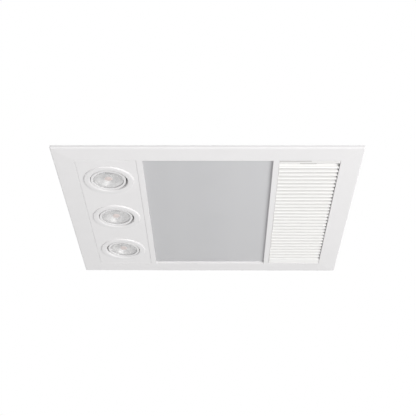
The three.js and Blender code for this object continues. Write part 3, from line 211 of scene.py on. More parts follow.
def frosted_glass():
    """Grey frosted glass with painted light: a little lighter in two bands where the two heating tubes lie behind
    it.
    """
    material = finish("frosted_glass", GLASS_GREY, roughness=0.45, coat=0.12, grain=0.25,
                      grain_scale=900, mottle=0.012, mottle_scale=12)
    tree = material.node_tree
    x = object_axes(tree)[0]
    side = math_step(tree, "ABSOLUTE", math_step(tree, "SUBTRACT", x, PAINTED_GLOW_MIDDLE_X * MM))
    # Painted light: two lighter bands stand in for the tubes' light seen through the glass
    return tinted(material, graded(tree, side, PAINTED_GLOW_REACH, PAINTED_GLOW_STOPS, "B_SPLINE"), PAINTED_GLOW_GREY)


def slatted_white():
    """White plastic with painted shade: greyer on the slats' narrow lower edges, deep between them, on the tab,
    along the near seam's left part and a little on the near bar.
    """
    material = finish("grille_white", GRILLE_WHITE, roughness=0.5, shine=0.3, grain=0.06, mottle=0.004)
    tree = material.node_tree
    x, y, z = object_axes(tree)
    # Painted shade on the slats' lower edges and deep between them, where the next slat shades them
    shade = graded(tree, z, SHADE_HEIGHT, SHADE_STOPS)
    slats = math_step(tree, "MULTIPLY", shade, between(tree, y, SLAT_SHADE_Y))
    # Painted shade on the tab
    tab = math_step(tree, "MULTIPLY", between(tree, y, TAB_SHADE_Y), between(tree, z, TAB_SHADE_Z))
    # Painted shade along the seam between the near bar and the fascia, on its left part
    seam = math_step(tree, "MULTIPLY", short_of(tree, y, SEAM_SHADE_Y), short_of(tree, x, SEAM_SHADE_END_X))
    # Painted shade that dims the whole near bar a little
    painted_bar_shade = math_step(tree, "MULTIPLY", short_of(tree, y, NEAR_BAR_SHADE_Y), NEAR_BAR_SHADE)
    return tinted(material, combined(tree, "MAXIMUM", [slats, tab, seam, painted_bar_shade]), GRILLE_SHADE_GREY)


def spangled_zinc():
    """Galvanised sheet: flat crystals of slightly different greys."""
    material = finish("galvanised", CRYSTAL_DARK, roughness=0.66, metallic=0.85)
    tree = material.node_tree
    place = tree.nodes.new("ShaderNodeTexCoord")
    cells = tree.nodes.new("ShaderNodeTexVoronoi")
    cells.inputs["Scale"].default_value = CRYSTALS
    tree.links.new(place.outputs["Object"], cells.inputs["Vector"])
    greys = two_tones(tree, cells.outputs["Color"], CRYSTAL_DARK, CRYSTAL_LIGHT)
    tree.links.new(greys, tree.nodes["Principled BSDF"].inputs["Base Color"])
    return material


MATERIALS = {
    "fascia_white": finish("fascia_white", (0.805, 0.795, 0.795), roughness=0.6, shine=0.3,
                           grain=0.08, mottle=0.006),
    "bezel_white": finish("bezel_white", (0.775, 0.765, 0.765), roughness=0.32, coat=0.3, mottle=0.005),
    "grille_white": slatted_white(),
    "frosted_glass": frosted_glass(),
    "clear_lens": finish("clear_lens", (0.9, 0.9, 0.905), roughness=0.12, alpha=0.22, mottle=0.01),
    "lamp_mirror": finish("lamp_mirror", (0.72, 0.713, 0.708), roughness=0.56, metallic=0.6,
                          mottle=0.16, mottle_scale=110),
    "phosphor": finish("phosphor", (0.77, 0.63, 0.585), roughness=0.45, mottle=0.08, mottle_scale=300),
    "cast_aluminium": finish("cast_aluminium", (0.60, 0.61, 0.62), roughness=0.5, metallic=0.9, grain=0.3),
    "spring_steel": finish("spring_steel", (0.50, 0.51, 0.53), roughness=0.28, metallic=1.0),
    "gasket_rubber": finish("gasket_rubber", (0.66, 0.63, 0.58), roughness=0.9, grain=0.5),
    "zinc_steel": finish("zinc_steel", (0.58, 0.57, 0.50), roughness=0.35, metallic=0.9),
    "bright_aluminium": finish("bright_aluminium", (0.78, 0.78, 0.79), roughness=0.2, metallic=1.0),
    "ruby_quartz": finish("ruby_quartz", (0.46, 0.10, 0.06), roughness=0.12, coat=0.5, mottle=0.08),
    "ceramic": finish("ceramic", (0.80, 0.76, 0.68), roughness=0.75, grain=0.3),
    "galvanised": spangled_zinc(),
    "white_nylon": finish("white_nylon", (0.76, 0.755, 0.73), roughness=0.5, grain=0.15, mottle=0.02),
    "motor_paint": finish("motor_paint", (0.66, 0.665, 0.67), roughness=0.4, grain=0.2, mottle=0.02),
    "black_plastic": finish("black_plastic", (0.022, 0.023, 0.026), roughness=0.45, grain=0.2),
    "grey_plastic": finish("grey_plastic", (0.27, 0.28, 0.30), roughness=0.5, grain=0.2),
}


# ---- helpers for meshes ----

# Points nearer than this are one point, and faces flatter than this are one face
SPUN_MERGE = 0.002
COPY_MERGE = 0.004
COPY_FLAT = 0.4

# Edges sharper than these are softened: on pieces with flat faces, and on pieces with round sides
FLAT_SIDED = 25.0
ROUND_SIDED = 40.0
WIRE_SIDES = 10


def mesh_object(bm, name):
    mesh = bpy.data.meshes.new(name)
    bm.to_mesh(mesh)
    bm.free()
    piece = bpy.data.objects.new(name, mesh)
    bpy.context.scene.collection.objects.link(piece)
    return piece


def place_piece(bm, name, node, stands_for=(), smooth=True, crease=35.0, slot=None):
    """Makes the mesh an object that rides with the node's body and takes its finish."""
    bmesh.ops.recalc_face_normals(bm, faces=bm.faces[:])
    piece = mesh_object(bm, name)
    if smooth:
        piece.data.shade_smooth()
        piece.data.set_sharp_from_angle(angle=math.radians(crease))
    slot_name = slot or SLOT_OF[node]
    piece.data.materials.append(MATERIALS[slot_name])
    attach(piece, BODY_OF[node])
    if stands_for:
        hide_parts(*stands_for)


def spun(profile, steps=FINE, closed=True):
    """A profile of (radius, height) points in millimetres, turned about Z."""
    bm = bmesh.new()
    corners = [bm.verts.new((r * MM, 0, z * MM)) for r, z in profile]
    edges = [bm.edges.new((corners[i], corners[i + 1])) for i in range(len(corners) - 1)]
    if closed:
        edges.append(bm.edges.new((corners[-1], corners[0])))
    bmesh.ops.spin(bm, geom=corners + edges, cent=(0, 0, 0), axis=(0, 0, 1), dvec=(0, 0, 0),
                   angle=2 * math.pi, steps=steps, use_merge=True, use_duplicate=False)
    bmesh.ops.remove_doubles(bm, verts=bm.verts[:], dist=SPUN_MERGE * MM)
    return bm


def soften(bm, width, segments=2, angle=FLAT_SIDED):
    """Rounds every edge that is sharper than an angle."""
    limit = math.radians(angle)
    edges = [e for e in bm.edges if len(e.link_faces) == 2 and e.calc_face_angle(0) > limit]
    bmesh.ops.bevel(bm, geom=edges, offset=width * MM, offset_type="OFFSET", segments=segments,
                    profile=0.5, affect="EDGES", clamp_overlap=True, material=-1)
    return bm


def merged_copy(node):
    """The node's own mesh as one clean surface."""
    bm = bmesh.new()
    bm.from_mesh(nodes[node].data)
    bmesh.ops.remove_doubles(bm, verts=bm.verts[:], dist=COPY_MERGE * MM)
    bmesh.ops.dissolve_limit(bm, angle_limit=math.radians(COPY_FLAT), verts=bm.verts[:], edges=bm.edges[:])
    return bm


def edge_softened(node, width):
    """The node with rounded edges and flat faces, standing for it."""
    place_piece(soften(merged_copy(node), width), node + "_finished", node, [node], smooth=False)


def smooth_copy(node, width, segments=2, crease=20.0):
    """The node with rounded edges and smooth round sides, standing for it."""
    bm = soften(merged_copy(node), width, segments, ROUND_SIDED)
    place_piece(bm, node + "_finished", node, [node], crease=crease)


def moved(bm, matrix):
    bmesh.ops.transform(bm, matrix=matrix, verts=bm.verts[:])
    return bm


def join(bm, other):
    """Adds the other mesh to the first one, and frees it."""
    mesh = bpy.data.meshes.new("joined")
    other.to_mesh(mesh)
    other.free()
    bm.from_mesh(mesh)
    bpy.data.meshes.remove(mesh)


def pull_in(vert, share):
    """Brings a point nearer to the Z axis."""
    vert.co.x *= 1 - share
    vert.co.y *= 1 - share


def add_box(bm, low, high):
    size = [(h - l) * MM for l, h in zip(low, high)]
    middle = [(h + l) / 2 * MM for l, h in zip(low, high)]
    matrix = Matrix.Translation(middle) @ Matrix.Diagonal((*size, 1))
    bmesh.ops.create_cube(bm, size=1, matrix=matrix)


def add_rod(bm, start, end, radius):
    a = Vector(start) * MM
    b = Vector(end) * MM
    turn = (b - a).to_track_quat("Z", "Y").to_matrix().to_4x4()
    matrix = Matrix.Translation((a + b) / 2) @ turn
    bmesh.ops.create_cone(bm, cap_ends=True, segments=SMALL, radius1=radius * MM,
                          radius2=radius * MM, depth=(b - a).length, matrix=matrix)


def around(middle_x, middle_y, radius, angle):
    return middle_x + radius * math.cos(angle), middle_y + radius * math.sin(angle)


def circle(middle_x, middle_y, radius, steps=FINE):
    return [around(middle_x, middle_y, radius, 2 * math.pi * i / steps) for i in range(steps)]


def round_rectangle(middle_x, middle_y, width, depth, radius, steps=6):
    points = []
    for i, (side_x, side_y) in enumerate(((1, 1), (-1, 1), (-1, -1), (1, -1))):
        corner_x = middle_x + side_x * (width / 2 - radius)
        corner_y = middle_y + side_y * (depth / 2 - radius)
        for step in range(steps + 1):
            points.append(around(corner_x, corner_y, radius, math.pi / 2 * (i + step / steps)))
    return points


def add_slab(bm, outline, holes, low, high):
    """A flat shape with holes, as thick as the two heights lie apart."""
    edges = []
    for loop in [outline, *holes]:
        corners = [bm.verts.new((x * MM, y * MM, low * MM)) for x, y in loop]
        edges += [bm.edges.new((corners[i - 1], corners[i])) for i in range(len(corners))]
    filled = bmesh.ops.triangle_fill(bm, edges=edges, use_beauty=True, use_dissolve=False)
    faces = [part for part in filled["geom"] if isinstance(part, bmesh.types.BMFace)]
    grown = bmesh.ops.extrude_face_region(bm, geom=faces, use_keep_orig=True)
    raised = [part for part in grown["geom"] if isinstance(part, bmesh.types.BMVert)]
    bmesh.ops.translate(bm, vec=(0, 0, (high - low) * MM), verts=raised)


def bridge(bm, lower, upper):
    for i in range(len(lower)):
        bm.faces.new((lower[i - 1], lower[i], upper[i], upper[i - 1]))


def add_loft(bm, rings, closed=False):
    """Skins rings of points; its ends are filled, or the last ring joins the first."""
    loops = [[bm.verts.new(Vector(point) * MM) for point in ring] for ring in rings]
    for lower, upper in zip(loops, loops[1:]):
        bridge(bm, lower, upper)
    if closed:
        bridge(bm, loops[-1], loops[0])
    else:
        bm.faces.new(loops[0])
        bm.faces.new(loops[-1])


def add_sweep(bm, path, radius):
    """A round wire along a path of points."""
    points = [Vector(point) for point in path]
    normal = None
    rings = []
    for i, point in enumerate(points):
        ahead = (points[min(i + 1, len(points) - 1)] - points[max(i - 1, 0)]).normalized()
        normal = (ahead.orthogonal() if normal is None else normal - ahead * normal.dot(ahead)).normalized()
        across = ahead.cross(normal)
        angles = [2 * math.pi * k / WIRE_SIDES for k in range(WIRE_SIDES)]
        rings.append([point + radius * (math.cos(a) * normal + math.sin(a) * across) for a in angles])
    add_loft(bm, rings)


# A screw head's rings as shares of its radius and height, and its cross as shares of them too
HEAD_RINGS = ((1.0, 0.0), (1.0, 0.35), (0.94, 0.68), (0.82, 0.88), (0.6, 1.0))
CROSS_HALF = 0.1
CROSS_REACH = 0.45
CROSS_FLOOR = 0.4

# Radius and height of each kind of screw head
FOOT_SCREW = (3.4, 1.9)
MOTOR_SCREW = (2.5, 1.6)
DRIVER_SCREW = (3.8, 2.0)
LID_SCREW = (2.6, 1.4)
BLOCK_SCREW = (2.6, 1.0)


def cross_outline(middle_x, middle_y, radius):
    half = CROSS_HALF * radius
    reach = CROSS_REACH * radius
    outline = []
    for turn in range(4):
        for x, y in ((reach, -half), (reach, half), (half, half)):
            for _ in range(turn):
                x, y = -y, x
            outline.append((middle_x + x, middle_y + y))
    return outline


def add_screw_head(bm, place, radius, height):
    """A pan head that stands up from a place, with a cross pressed into it."""
    x, y, z = place

    def level_loop(outline, level):
        return [bm.verts.new((px * MM, py * MM, (z + height * level) * MM)) for px, py in outline]

    loops = [level_loop(circle(x, y, radius * share, SMALL), level) for share, level in HEAD_RINGS]
    for lower, upper in zip(loops, loops[1:]):
        bridge(bm, lower, upper)
    bm.faces.new(loops[0])
    cross = cross_outline(x, y, radius)
    rim = level_loop(cross, 1.0)
    deep = level_loop(cross, CROSS_FLOOR)
    bridge(bm, rim, deep)
    bm.faces.new(deep)
    edges = [bm.edges.get((loop[i - 1], loop[i])) for loop in (loops[-1], rim) for i in range(len(loop))]
    bmesh.ops.triangle_fill(bm, edges=edges, use_beauty=True)


def screw_heads(name, node, places, radius, height):
    bm = bmesh.new()
    for place in places:
        add_screw_head(bm, place, radius, height)
    place_piece(bm, name, node, slot="zinc_steel")


# ---- camera at the photograph's angle ----

CAMERA_PLACE = Vector((19.7, -1283.4, -726.3)) * MM
PITCH = math.radians(30.188)
YAW = math.radians(-0.928)
ROLL = math.radians(0.541)
FOCAL_LENGTH = 74.75
SENSOR_WIDTH = 36
NEAREST_SEEN = 10


def add_camera():
    ahead = Vector((math.sin(YAW) * math.cos(PITCH), math.cos(YAW) * math.cos(PITCH), math.sin(PITCH)))
    right = Vector((math.cos(YAW), -math.sin(YAW), 0))
    up = right.cross(ahead)
    right_rolled = math.cos(ROLL) * right + math.sin(ROLL) * up
    up_rolled = math.cos(ROLL) * up - math.sin(ROLL) * right
    data = bpy.data.cameras.new("camera")
    data.lens = FOCAL_LENGTH
    data.sensor_width = SENSOR_WIDTH
    data.clip_start = NEAREST_SEEN * MM
    camera = bpy.data.objects.new("camera", data)
    turn = Matrix((right_rolled, up_rolled, -ahead)).transposed().to_4x4()
    camera.matrix_world = Matrix.Translation(CAMERA_PLACE) @ turn
    bpy.context.scene.collection.objects.link(camera)
    bpy.context.scene.camera = camera


add_camera()


# ---- fascia, light plate and grille ----

# The slats' tapered ends: where they lie, and how far they are brought towards the opening's side
SLAT_ENDS_X = (201, 202)
SLAT_ENDS_Z = 1
SLAT_ENDS_PUSH = 1.7
SLAT_SOFTNESS = 0.22


def make_grille():
    """The grille with soft edges; its slats' tapered ends come a little nearer to the opening."""
    bm = merged_copy("exhaust_grille")
    low, high = SLAT_ENDS_X
    for vert in bm.verts:
        if low * MM < vert.co.x < high * MM and vert.co.z > SLAT_ENDS_Z * MM:
            vert.co.x += SLAT_ENDS_PUSH * MM
    soften(bm, SLAT_SOFTNESS, 1)
    place_piece(bm, "exhaust_grille_finished", "exhaust_grille", ["exhaust_grille"], smooth=False)


edge_softened("fascia_frame", 0.35)
edge_softened("light_plate", 0.3)
make_grille()


# ---- lamps ----

LAMPS = (1, 2, 3)

# How many degrees each lamp leans at rest, and how far it lies to the right in its bezel
LAMP_TILTS = {1: -1.0, 2: -1.6, 3: 2.4}
LAMP_PLAY = {1: -1.0, 2: -1.0, 3: 0.9}

BEZEL_RADIUS = 40.0
BEZEL_BORE = 30.0
BEZEL_EDGE = 1.9
BEZEL_EDGE_STEPS = 8
BEZEL_PROUD = 2.0
BARREL_RADIUS = 32.4
BARREL_TOP = 18.0

# The stub on each side of the barrel that carries a spring
STUB_ROOT = 32.0
STUB_X = 35.7
STUB_Z = 11.8
STUB_RADIUS = 1.2
STUB_END = 6.4

GIMBAL_RADIUS = 28.3
GIMBAL_BASE = -4.1
GIMBAL_HEIGHT = 8.5
GIMBAL_STEPS = 12
PIVOT_START = 27
PIVOT_END = 31.6
PIVOT_RADIUS = 1.5

# The reflector's bowl narrows from its rim to its throat
BOWL_OUTSIDE = 25.0
BOWL_RIM = -1.5
BOWL_RIM_TOP = -0.7
BOWL_DEPTH = 14.2
BOWL_TOP = 12.7
BOWL_THROAT = 7.3
BOWL_SPREAD = 16.2
BOWL_WALL = 0.8
BOWL_STEPS = 16
LOBES = 4
LOBE_DEPTH = 0.07
LOBE_BASE = -1.4
LOBE_REACH = 24.6
LOBE_FADE_LOW = 4
LOBE_FADE_HIGH = 3


def lamp_frame(number):
    """The lamp's tilting axis as a matrix, with the lean and the small play that it has at rest."""
    place = joint_places["lamp_tilt_%d" % number] + Vector((LAMP_PLAY[number] * MM, 0, 0))
    lean = Matrix.Rotation(math.radians(LAMP_TILTS[number]), 4, "Y")
    return Matrix.Translation(place) @ lean


def lamp_seat(number):
    place = joint_places["lamp_tilt_%d" % number]
    return Matrix.Translation((place.x, place.y, 0))


def bezel_profile():
    """A flat ring with a small inner bevel and a quarter-round outer edge, on a barrel."""
    profile = [(BEZEL_BORE, 1.0), (30.1, 0.85), (30.9, 0.35), (31.5, 0.12), (32.0, 0.02), (32.3, 0.0)]
    profile += [(33.5, 0.0), (37.6, 0.09), (37.95, 0.095)]
    for step in range(BEZEL_EDGE_STEPS + 1):
        angle = math.pi / 2 * step / BEZEL_EDGE_STEPS
        across = BEZEL_RADIUS - BEZEL_EDGE * (1 - math.sin(angle))
        profile.append((across, BEZEL_PROUD - BEZEL_EDGE * math.cos(angle)))
    profile += [(BEZEL_RADIUS, BEZEL_PROUD), (BARREL_RADIUS, BEZEL_PROUD)]
    return profile + [(BARREL_RADIUS, BARREL_TOP), (BEZEL_BORE, BARREL_TOP)]


def make_bezel(number):
    bm = spun(bezel_profile())
    for side in (-1, 1):
        low_x, high_x = sorted((side * STUB_ROOT, side * (STUB_X + STUB_RADIUS)))
        add_box(bm, (low_x, -1, STUB_Z - STUB_RADIUS), (high_x, 1, STUB_Z + STUB_RADIUS))
        add_rod(bm, (side * STUB_X, 0, STUB_Z), (side * STUB_X, side * STUB_END, STUB_Z), STUB_RADIUS)
    name = "lamp_bezel_%d" % number
    place_piece(moved(bm, lamp_seat(number)), name + "_round", name, [name])


def make_gimbal(number):
    """A ring with an outside like a ball's, and a pivot on each side."""
    profile = [(24.4, -3.6), (24.55, -3.95), (24.9, -4.1)]
    for step in range(GIMBAL_STEPS + 1):
        z = GIMBAL_BASE + GIMBAL_HEIGHT * step / GIMBAL_STEPS
        profile.append((math.sqrt(GIMBAL_RADIUS ** 2 - z ** 2), z))
    profile += [(25.3, 4.4), (25.3, -3.3), (24.4, -3.3)]
    bm = spun(profile)
    for side in (-1, 1):
        add_rod(bm, (0, side * PIVOT_START, 0), (0, side * PIVOT_END, 0), PIVOT_RADIUS)
    name = "gimbal_ring_%d" % number
    place_piece(moved(bm, lamp_frame(number)), name + "_round", name, [name])


def make_lens(number):
    profile = [(0, -3.0), (24.4, -3.0), (24.85, -2.75), (25.0, -2.3), (25.0, -1.8), (0, -1.8)]
    bm = spun(profile, closed=False)
    name = "lamp_lens_%d" % number
    place_piece(moved(bm, lamp_frame(number)), name + "_round", name, [name])


def bowl_radius(z):
    share = max(0.0, (BOWL_TOP - z) / BOWL_DEPTH)
    return BOWL_THROAT + BOWL_SPREAD * math.sqrt(share)


def press_lobes(bm):
    """Presses soft lobes into the bowl's side, which fade out at its rim and at its throat."""
    for vert in bm.verts:
        height = vert.co.z / MM
        if height > LOBE_BASE and math.hypot(vert.co.x, vert.co.y) < LOBE_REACH * MM:
            depth = min(1.0, (height - LOBE_BASE) / LOBE_FADE_LOW)
            depth *= min(1.0, (BOWL_TOP - height) / LOBE_FADE_HIGH)
            lobe = math.cos(LOBES * math.atan2(vert.co.y, vert.co.x))
            pull_in(vert, LOBE_DEPTH * depth * (0.5 - 0.5 * lobe))


def make_reflector(number):
    shares = [1 - (1 - step / BOWL_STEPS) ** 2 for step in range(BOWL_STEPS + 1)]
    heights = [BOWL_RIM + BOWL_DEPTH * share for share in shares]
    profile = [(BOWL_OUTSIDE, BOWL_RIM_TOP), (BOWL_OUTSIDE, BOWL_RIM)]
    profile += [(bowl_radius(z), z) for z in heights]
    profile += [(bowl_radius(z) + BOWL_WALL, z) for z in reversed(heights)]
    profile[-1] = (bowl_radius(BOWL_RIM_TOP) + BOWL_WALL, BOWL_RIM_TOP)
    bm = spun(profile)
    press_lobes(bm)
    name = "lamp_reflector_%d" % number
    place_piece(moved(bm, lamp_frame(number)), name + "_lobed", name, [name], crease=60)


def make_emitter(number):
    """The emitter's face stands just behind the lens on a bright post."""
    name = "led_emitter_%d" % number
    face = spun([(0, -1.5), (4.5, -1.45), (5.6, -1.25), (6.1, -0.9), (6.2, -0.5), (0, -0.5)],
                steps=MEDIUM, closed=False)
    place_piece(moved(face, lamp_frame(number)), name + "_face", name, [name])
    post = spun([(0, -0.4), (6.2, -0.4), (6.5, 0.2), (6.5, 13.0), (9.5, 13.0), (9.5, 14.0), (0, 14.0)],
                steps=MEDIUM, closed=False)
    place_piece(moved(post, lamp_frame(number)), name + "_post", name, slot="clear_lens")


for lamp_number in LAMPS:
    make_bezel(lamp_number)
    make_gimbal(lamp_number)
    make_lens(lamp_number)
    make_reflector(lamp_number)
    make_emitter(lamp_number)


# ---- housing tray, scroll and inlet ring ----

SCROLL_X = 100.0
SCROLL_Y = -20.0
SCROLL_MOUTH = 80.0
SCROLL_LEFT = 128.05
SCROLL_RIGHT = 210
SCROLL_START = 82
SCROLL_GROWTH = 28
SCROLL_INLET = 60
SCROLL_MOTOR_HOLE = 27.3
SCROLL_SHEET = 1.2
SCROLL_LIP = 1.6

# From which height to which the scroll's sheets and its feet on the tray reach
SCROLL_FLOOR = (84.0, 85.2)
SCROLL_ROOF = (152.2, 153.4)
FOOT_SHEET = (84.05, 85.15)
FOOT_TURNS = (180, 250, 320)
FOOT_OUTLINE = round_rectangle(100, 0, 44, 14, 3)
FOOT_LIMIT_X = 210.5
FOOT_SCREWS_OUT = 116


def scroll_outline(inset):
    """The spiral wall's outline, which runs from the throat round to the mouth's far side."""
    left = SCROLL_LEFT + inset
    points = [(left, SCROLL_MOUTH)]
    start = math.acos((left - SCROLL_X) / (SCROLL_START - inset))
    for step in range(FINE + 1):
        share = step / FINE
        angle = start + (2 * math.pi - start) * share
        radius = SCROLL_START + SCROLL_GROWTH * share - inset
        points.append(around(SCROLL_X, SCROLL_Y, radius, angle))
    points.append((SCROLL_RIGHT - inset, SCROLL_MOUTH))
    return points


def make_scroll():
    """Wall, floor and roof, with a lip where they are folded together, and three feet."""
    bm = bmesh.new()
    lip = scroll_outline(-SCROLL_LIP)
    wall = scroll_outline(0) + scroll_outline(SCROLL_SHEET)[::-1]
    add_slab(bm, lip, [circle(SCROLL_X, SCROLL_Y, SCROLL_INLET)], *SCROLL_FLOOR)
    add_slab(bm, lip, [circle(SCROLL_X, SCROLL_Y, SCROLL_MOTOR_HOLE)], *SCROLL_ROOF)
    add_slab(bm, wall, [], SCROLL_FLOOR[1], SCROLL_ROOF[0])
    for degrees in FOOT_TURNS:
        turn = math.radians(degrees)
        turned = [(SCROLL_X + x * math.cos(turn) - y * math.sin(turn),
                   SCROLL_Y + x * math.sin(turn) + y * math.cos(turn)) for x, y in FOOT_OUTLINE]
        add_slab(bm, [(min(x, FOOT_LIMIT_X), y) for x, y in turned], [], *FOOT_SHEET)
    place_piece(bm, "scroll_housing_smooth", "scroll_housing", ["scroll_housing"], crease=20)


def places_round_fan(radius, turns, height):
    """Places round the fan's axis, at angles in degrees."""
    return [(*around(SCROLL_X, SCROLL_Y, radius, math.radians(turn)), height) for turn in turns]


def at_scroll(bm):
    return moved(bm, Matrix.Translation((SCROLL_X * MM, SCROLL_Y * MM, 0)))


def make_inlet_ring():
    """A bell mouth that leads the air into the impeller."""
    outside = [(67.6, 85.2), (68.0, 85.7), (67.6, 86.2), (61.4, 86.2)]
    outside += [(60.1, 86.5), (59.4, 87.3), (59.0, 88.8), (58.8, 91.0), (58.6, 94.0), (58.2, 94.2)]
    inside = [(57.6, 94.0), (57.7, 90.5), (57.9, 88.2), (58.3, 86.4), (59.0, 85.4), (60.2, 85.2)]
    place_piece(at_scroll(spun(outside + inside)), "inlet_ring_smooth", "inlet_ring", ["inlet_ring"])


smooth_copy("housing_tray", 0.5)
make_scroll()
foot_screws = places_round_fan(FOOT_SCREWS_OUT, FOOT_TURNS, SCROLL_FLOOR[1])
screw_heads("scroll_foot_screws", "scroll_housing", foot_screws, *FOOT_SCREW)
make_inlet_ring()


# ---- impeller, shaft and motor ----

BLADES = 32
BLADE_START = 62
BLADE_LENGTH = 12.9
BLADE_SWEEP = math.radians(15)
BLADE_HALF = 0.65
BLADE_TAPER = 0.3
BLADE_STEPS = 6
BLADE_HEIGHTS = (93.3, 142.4)

CAN_RADIUS = 42
CAN_STEPS = 9
VENTS = 10
VENT_TURN = 36
VENT_RADIUS = 39
VENT_HALF = 3
VENT_HEIGHTS = (159.4, 173.4)
FLANGE_TOP = 155.4
FLANGE_SCREWS_OUT = 45.2
FLANGE_SCREW_TURNS = (45, 135, 225, 315)


def blade_outline(turn):
    back = []
    front = []
    for step in range(BLADE_STEPS + 1):
        share = step / BLADE_STEPS
        radius = BLADE_START + BLADE_LENGTH * share
        angle = turn + BLADE_SWEEP * share ** 2
        half = BLADE_HALF * (1 - BLADE_TAPER * share) / radius
        back.append(around(0, 0, radius, angle - half))
        front.append(around(0, 0, radius, angle + half))
    return back + front[::-1]


def make_impeller():
    """Curved blades between a ring and a plate, with a hub that carries the shaft."""
    bm = spun([(4.3, 123.2), (8.2, 123.2), (9.0, 124.0), (9.2, 139.5), (10.4, 141.2), (12.5, 141.7),
               (74.6, 141.7), (75.0, 142.1), (75.0, 142.8), (74.6, 143.2), (4.3, 143.2)])
    join(bm, spun([(66.4, 93.5), (66.7, 93.2), (74.6, 93.2), (75.0, 93.6), (75.0, 95.3), (74.6, 95.7),
                   (66.7, 95.7), (66.4, 95.4)]))
    for i in range(BLADES):
        add_slab(bm, blade_outline(2 * math.pi * i / BLADES), [], *BLADE_HEIGHTS)
    place_piece(at_scroll(bm), "impeller_smooth", "impeller", ["impeller"], crease=30)


def make_shaft():
    profile = [(0, 123.2), (3.5, 123.2), (4.0, 123.7), (4.0, 161.7), (3.5, 162.2), (0, 162.2)]
    bm = spun(profile, steps=SMALL, closed=False)
    place_piece(at_scroll(bm), "motor_shaft_smooth", "motor_shaft", ["motor_shaft"])


def vented_outline():
    """The can's outline where ten upright vents are sunk into it."""
    points = []
    edge = math.asin(VENT_HALF / CAN_RADIUS)
    deep = math.asin(VENT_HALF / VENT_RADIUS)
    for i in range(VENTS):
        middle = math.radians(VENT_TURN * i)
        points.append(around(0, 0, CAN_RADIUS, middle - edge))
        points.append(around(0, 0, VENT_RADIUS, middle - deep))
        points.append(around(0, 0, VENT_RADIUS, middle + deep))
        for step in range(CAN_STEPS):
            angle = middle + edge + (math.radians(VENT_TURN) - 2 * edge) * step / CAN_STEPS
            points.append(around(0, 0, CAN_RADIUS, angle))
    return points


def make_motor():
    """A can with a fixing flange, sunk vents, a folded seam, a round crown and a bearing boss."""
    lower = [(0, 146.2), (26, 146.2), (27, 147.2), (27, 153.4), (47.6, 153.4), (48, 153.8), (48, 155.0),
             (47.6, 155.4), (43.4, 155.4), (42.4, 155.8), (42, 156.8), (42, 159.4), (0, 159.4)]
    upper = [(0, 173.4), (42, 173.4), (42, 176.2), (42.4, 176.5), (42.4, 177.3), (42, 177.6),
             (42, 181.4), (41.7, 182.9), (40.8, 184.2), (39.5, 185.1), (38, 185.4), (12.2, 185.4),
             (11.3, 185.8), (11, 186.6), (10.7, 188.0), (10.0, 189.0), (9, 189.4), (0, 189.4)]
    bm = spun(lower, closed=False)
    join(bm, spun(upper, closed=False))
    add_slab(bm, vented_outline(), [], *VENT_HEIGHTS)
    place_piece(at_scroll(bm), "fan_motor_smooth", "fan_motor", ["fan_motor"], crease=30)
    places = places_round_fan(FLANGE_SCREWS_OUT, FLANGE_SCREW_TURNS, FLANGE_TOP)
    screw_heads("motor_screws", "fan_motor", places, *MOTOR_SCREW)


make_impeller()
make_shaft()
make_motor()


# ---- duct adaptor and draught flap ----

SLEEVE_X, SLEEVE_Z = 169.03, 118.7
SLEEVE_WIDTH, SLEEVE_HEIGHT = 78.95, 66.4
SLEEVE_CORNER = 3.2
SLEEVE_START = 68
COLLAR_X, COLLAR_Z = 160.02, 136.5
COLLAR_RADIUS = 50
COLLAR_STRAIGHT = 0.1
COLLAR_END = 203
BEAD_START = 199.6
BLEND_START = 142
BLEND_LENGTH = 20
BLEND_STEPS = 10
CORNER_STEPS = 12
DUCT_WALL = 1.6
ADAPTOR_FOOT = ((130.4, 79.4, 86.3), (207.6, 80.9, 90.1))

FLAP_Y = 82
FLAP_HALF = 0.75
FLAP_OUTLINE = (SLEEVE_X, 117.3, 73.75, 59.1, 1.2)
FLAP_PIN_Z = 146.8

# Start, end and radius of the flap's knuckle and of its pin
FLAP_RODS = ((132.15, 205.9, 2.6), (129.55, 208.5, 1.6))


def adaptor_ring(y, grow):
    """The sleeve's outline at a place along it: a square one that turns into a round one."""
    share = min(1.0, max(0.0, (y - BLEND_START) / BLEND_LENGTH))
    share = (share + share * share * (3 - 2 * share)) / 2
    square = round_rectangle(SLEEVE_X, SLEEVE_Z, SLEEVE_WIDTH + 2 * grow, SLEEVE_HEIGHT + 2 * grow,
                             SLEEVE_CORNER + grow, CORNER_STEPS)
    half = COLLAR_RADIUS + grow
    rounded = round_rectangle(COLLAR_X, COLLAR_Z, 2 * half, 2 * half, half - COLLAR_STRAIGHT, CORNER_STEPS)
    return [(a + (c - a) * share, y, b + (d - b) * share) for (a, b), (c, d) in zip(square, rounded)]


def make_adaptor():
    """Outside, bead, rim and inside as one skin, with a foot that lies on the tray."""
    steps = [BLEND_START + BLEND_LENGTH * i / BLEND_STEPS for i in range(BLEND_STEPS + 1)]
    outside = [(y, 0) for y in [SLEEVE_START, *steps, BEAD_START]]
    bead = [(199.9, 0.5), (200.4, 0.9), (201.4, 1.0), (202.4, 0.8), (COLLAR_END, 0.2)]
    inside = [(y, -DUCT_WALL) for y in [COLLAR_END, *steps[::-1], SLEEVE_START]]
    bm = bmesh.new()
    add_loft(bm, [adaptor_ring(y, grow) for y, grow in outside + bead + inside], closed=True)
    add_box(bm, *ADAPTOR_FOOT)
    place_piece(bm, "duct_adaptor_smooth", "duct_adaptor", ["duct_adaptor"], crease=30)


def make_flap():
    """A thin plate that hangs from a round knuckle on a pin."""
    bm = bmesh.new()
    add_slab(bm, round_rectangle(*FLAP_OUTLINE), [], -FLAP_HALF, FLAP_HALF)
    moved(bm, Matrix.Rotation(math.pi / 2, 4, "X"))
    moved(bm, Matrix.Translation((0, FLAP_Y * MM, 0)))
    for start_x, end_x, radius in FLAP_RODS:
        add_rod(bm, (start_x, FLAP_Y, FLAP_PIN_Z), (end_x, FLAP_Y, FLAP_PIN_Z), radius)
    place_piece(bm, "draught_flap_smooth", "draught_flap", ["draught_flap"])


make_adaptor()
make_flap()


# ---- driver, terminal box and gland ----

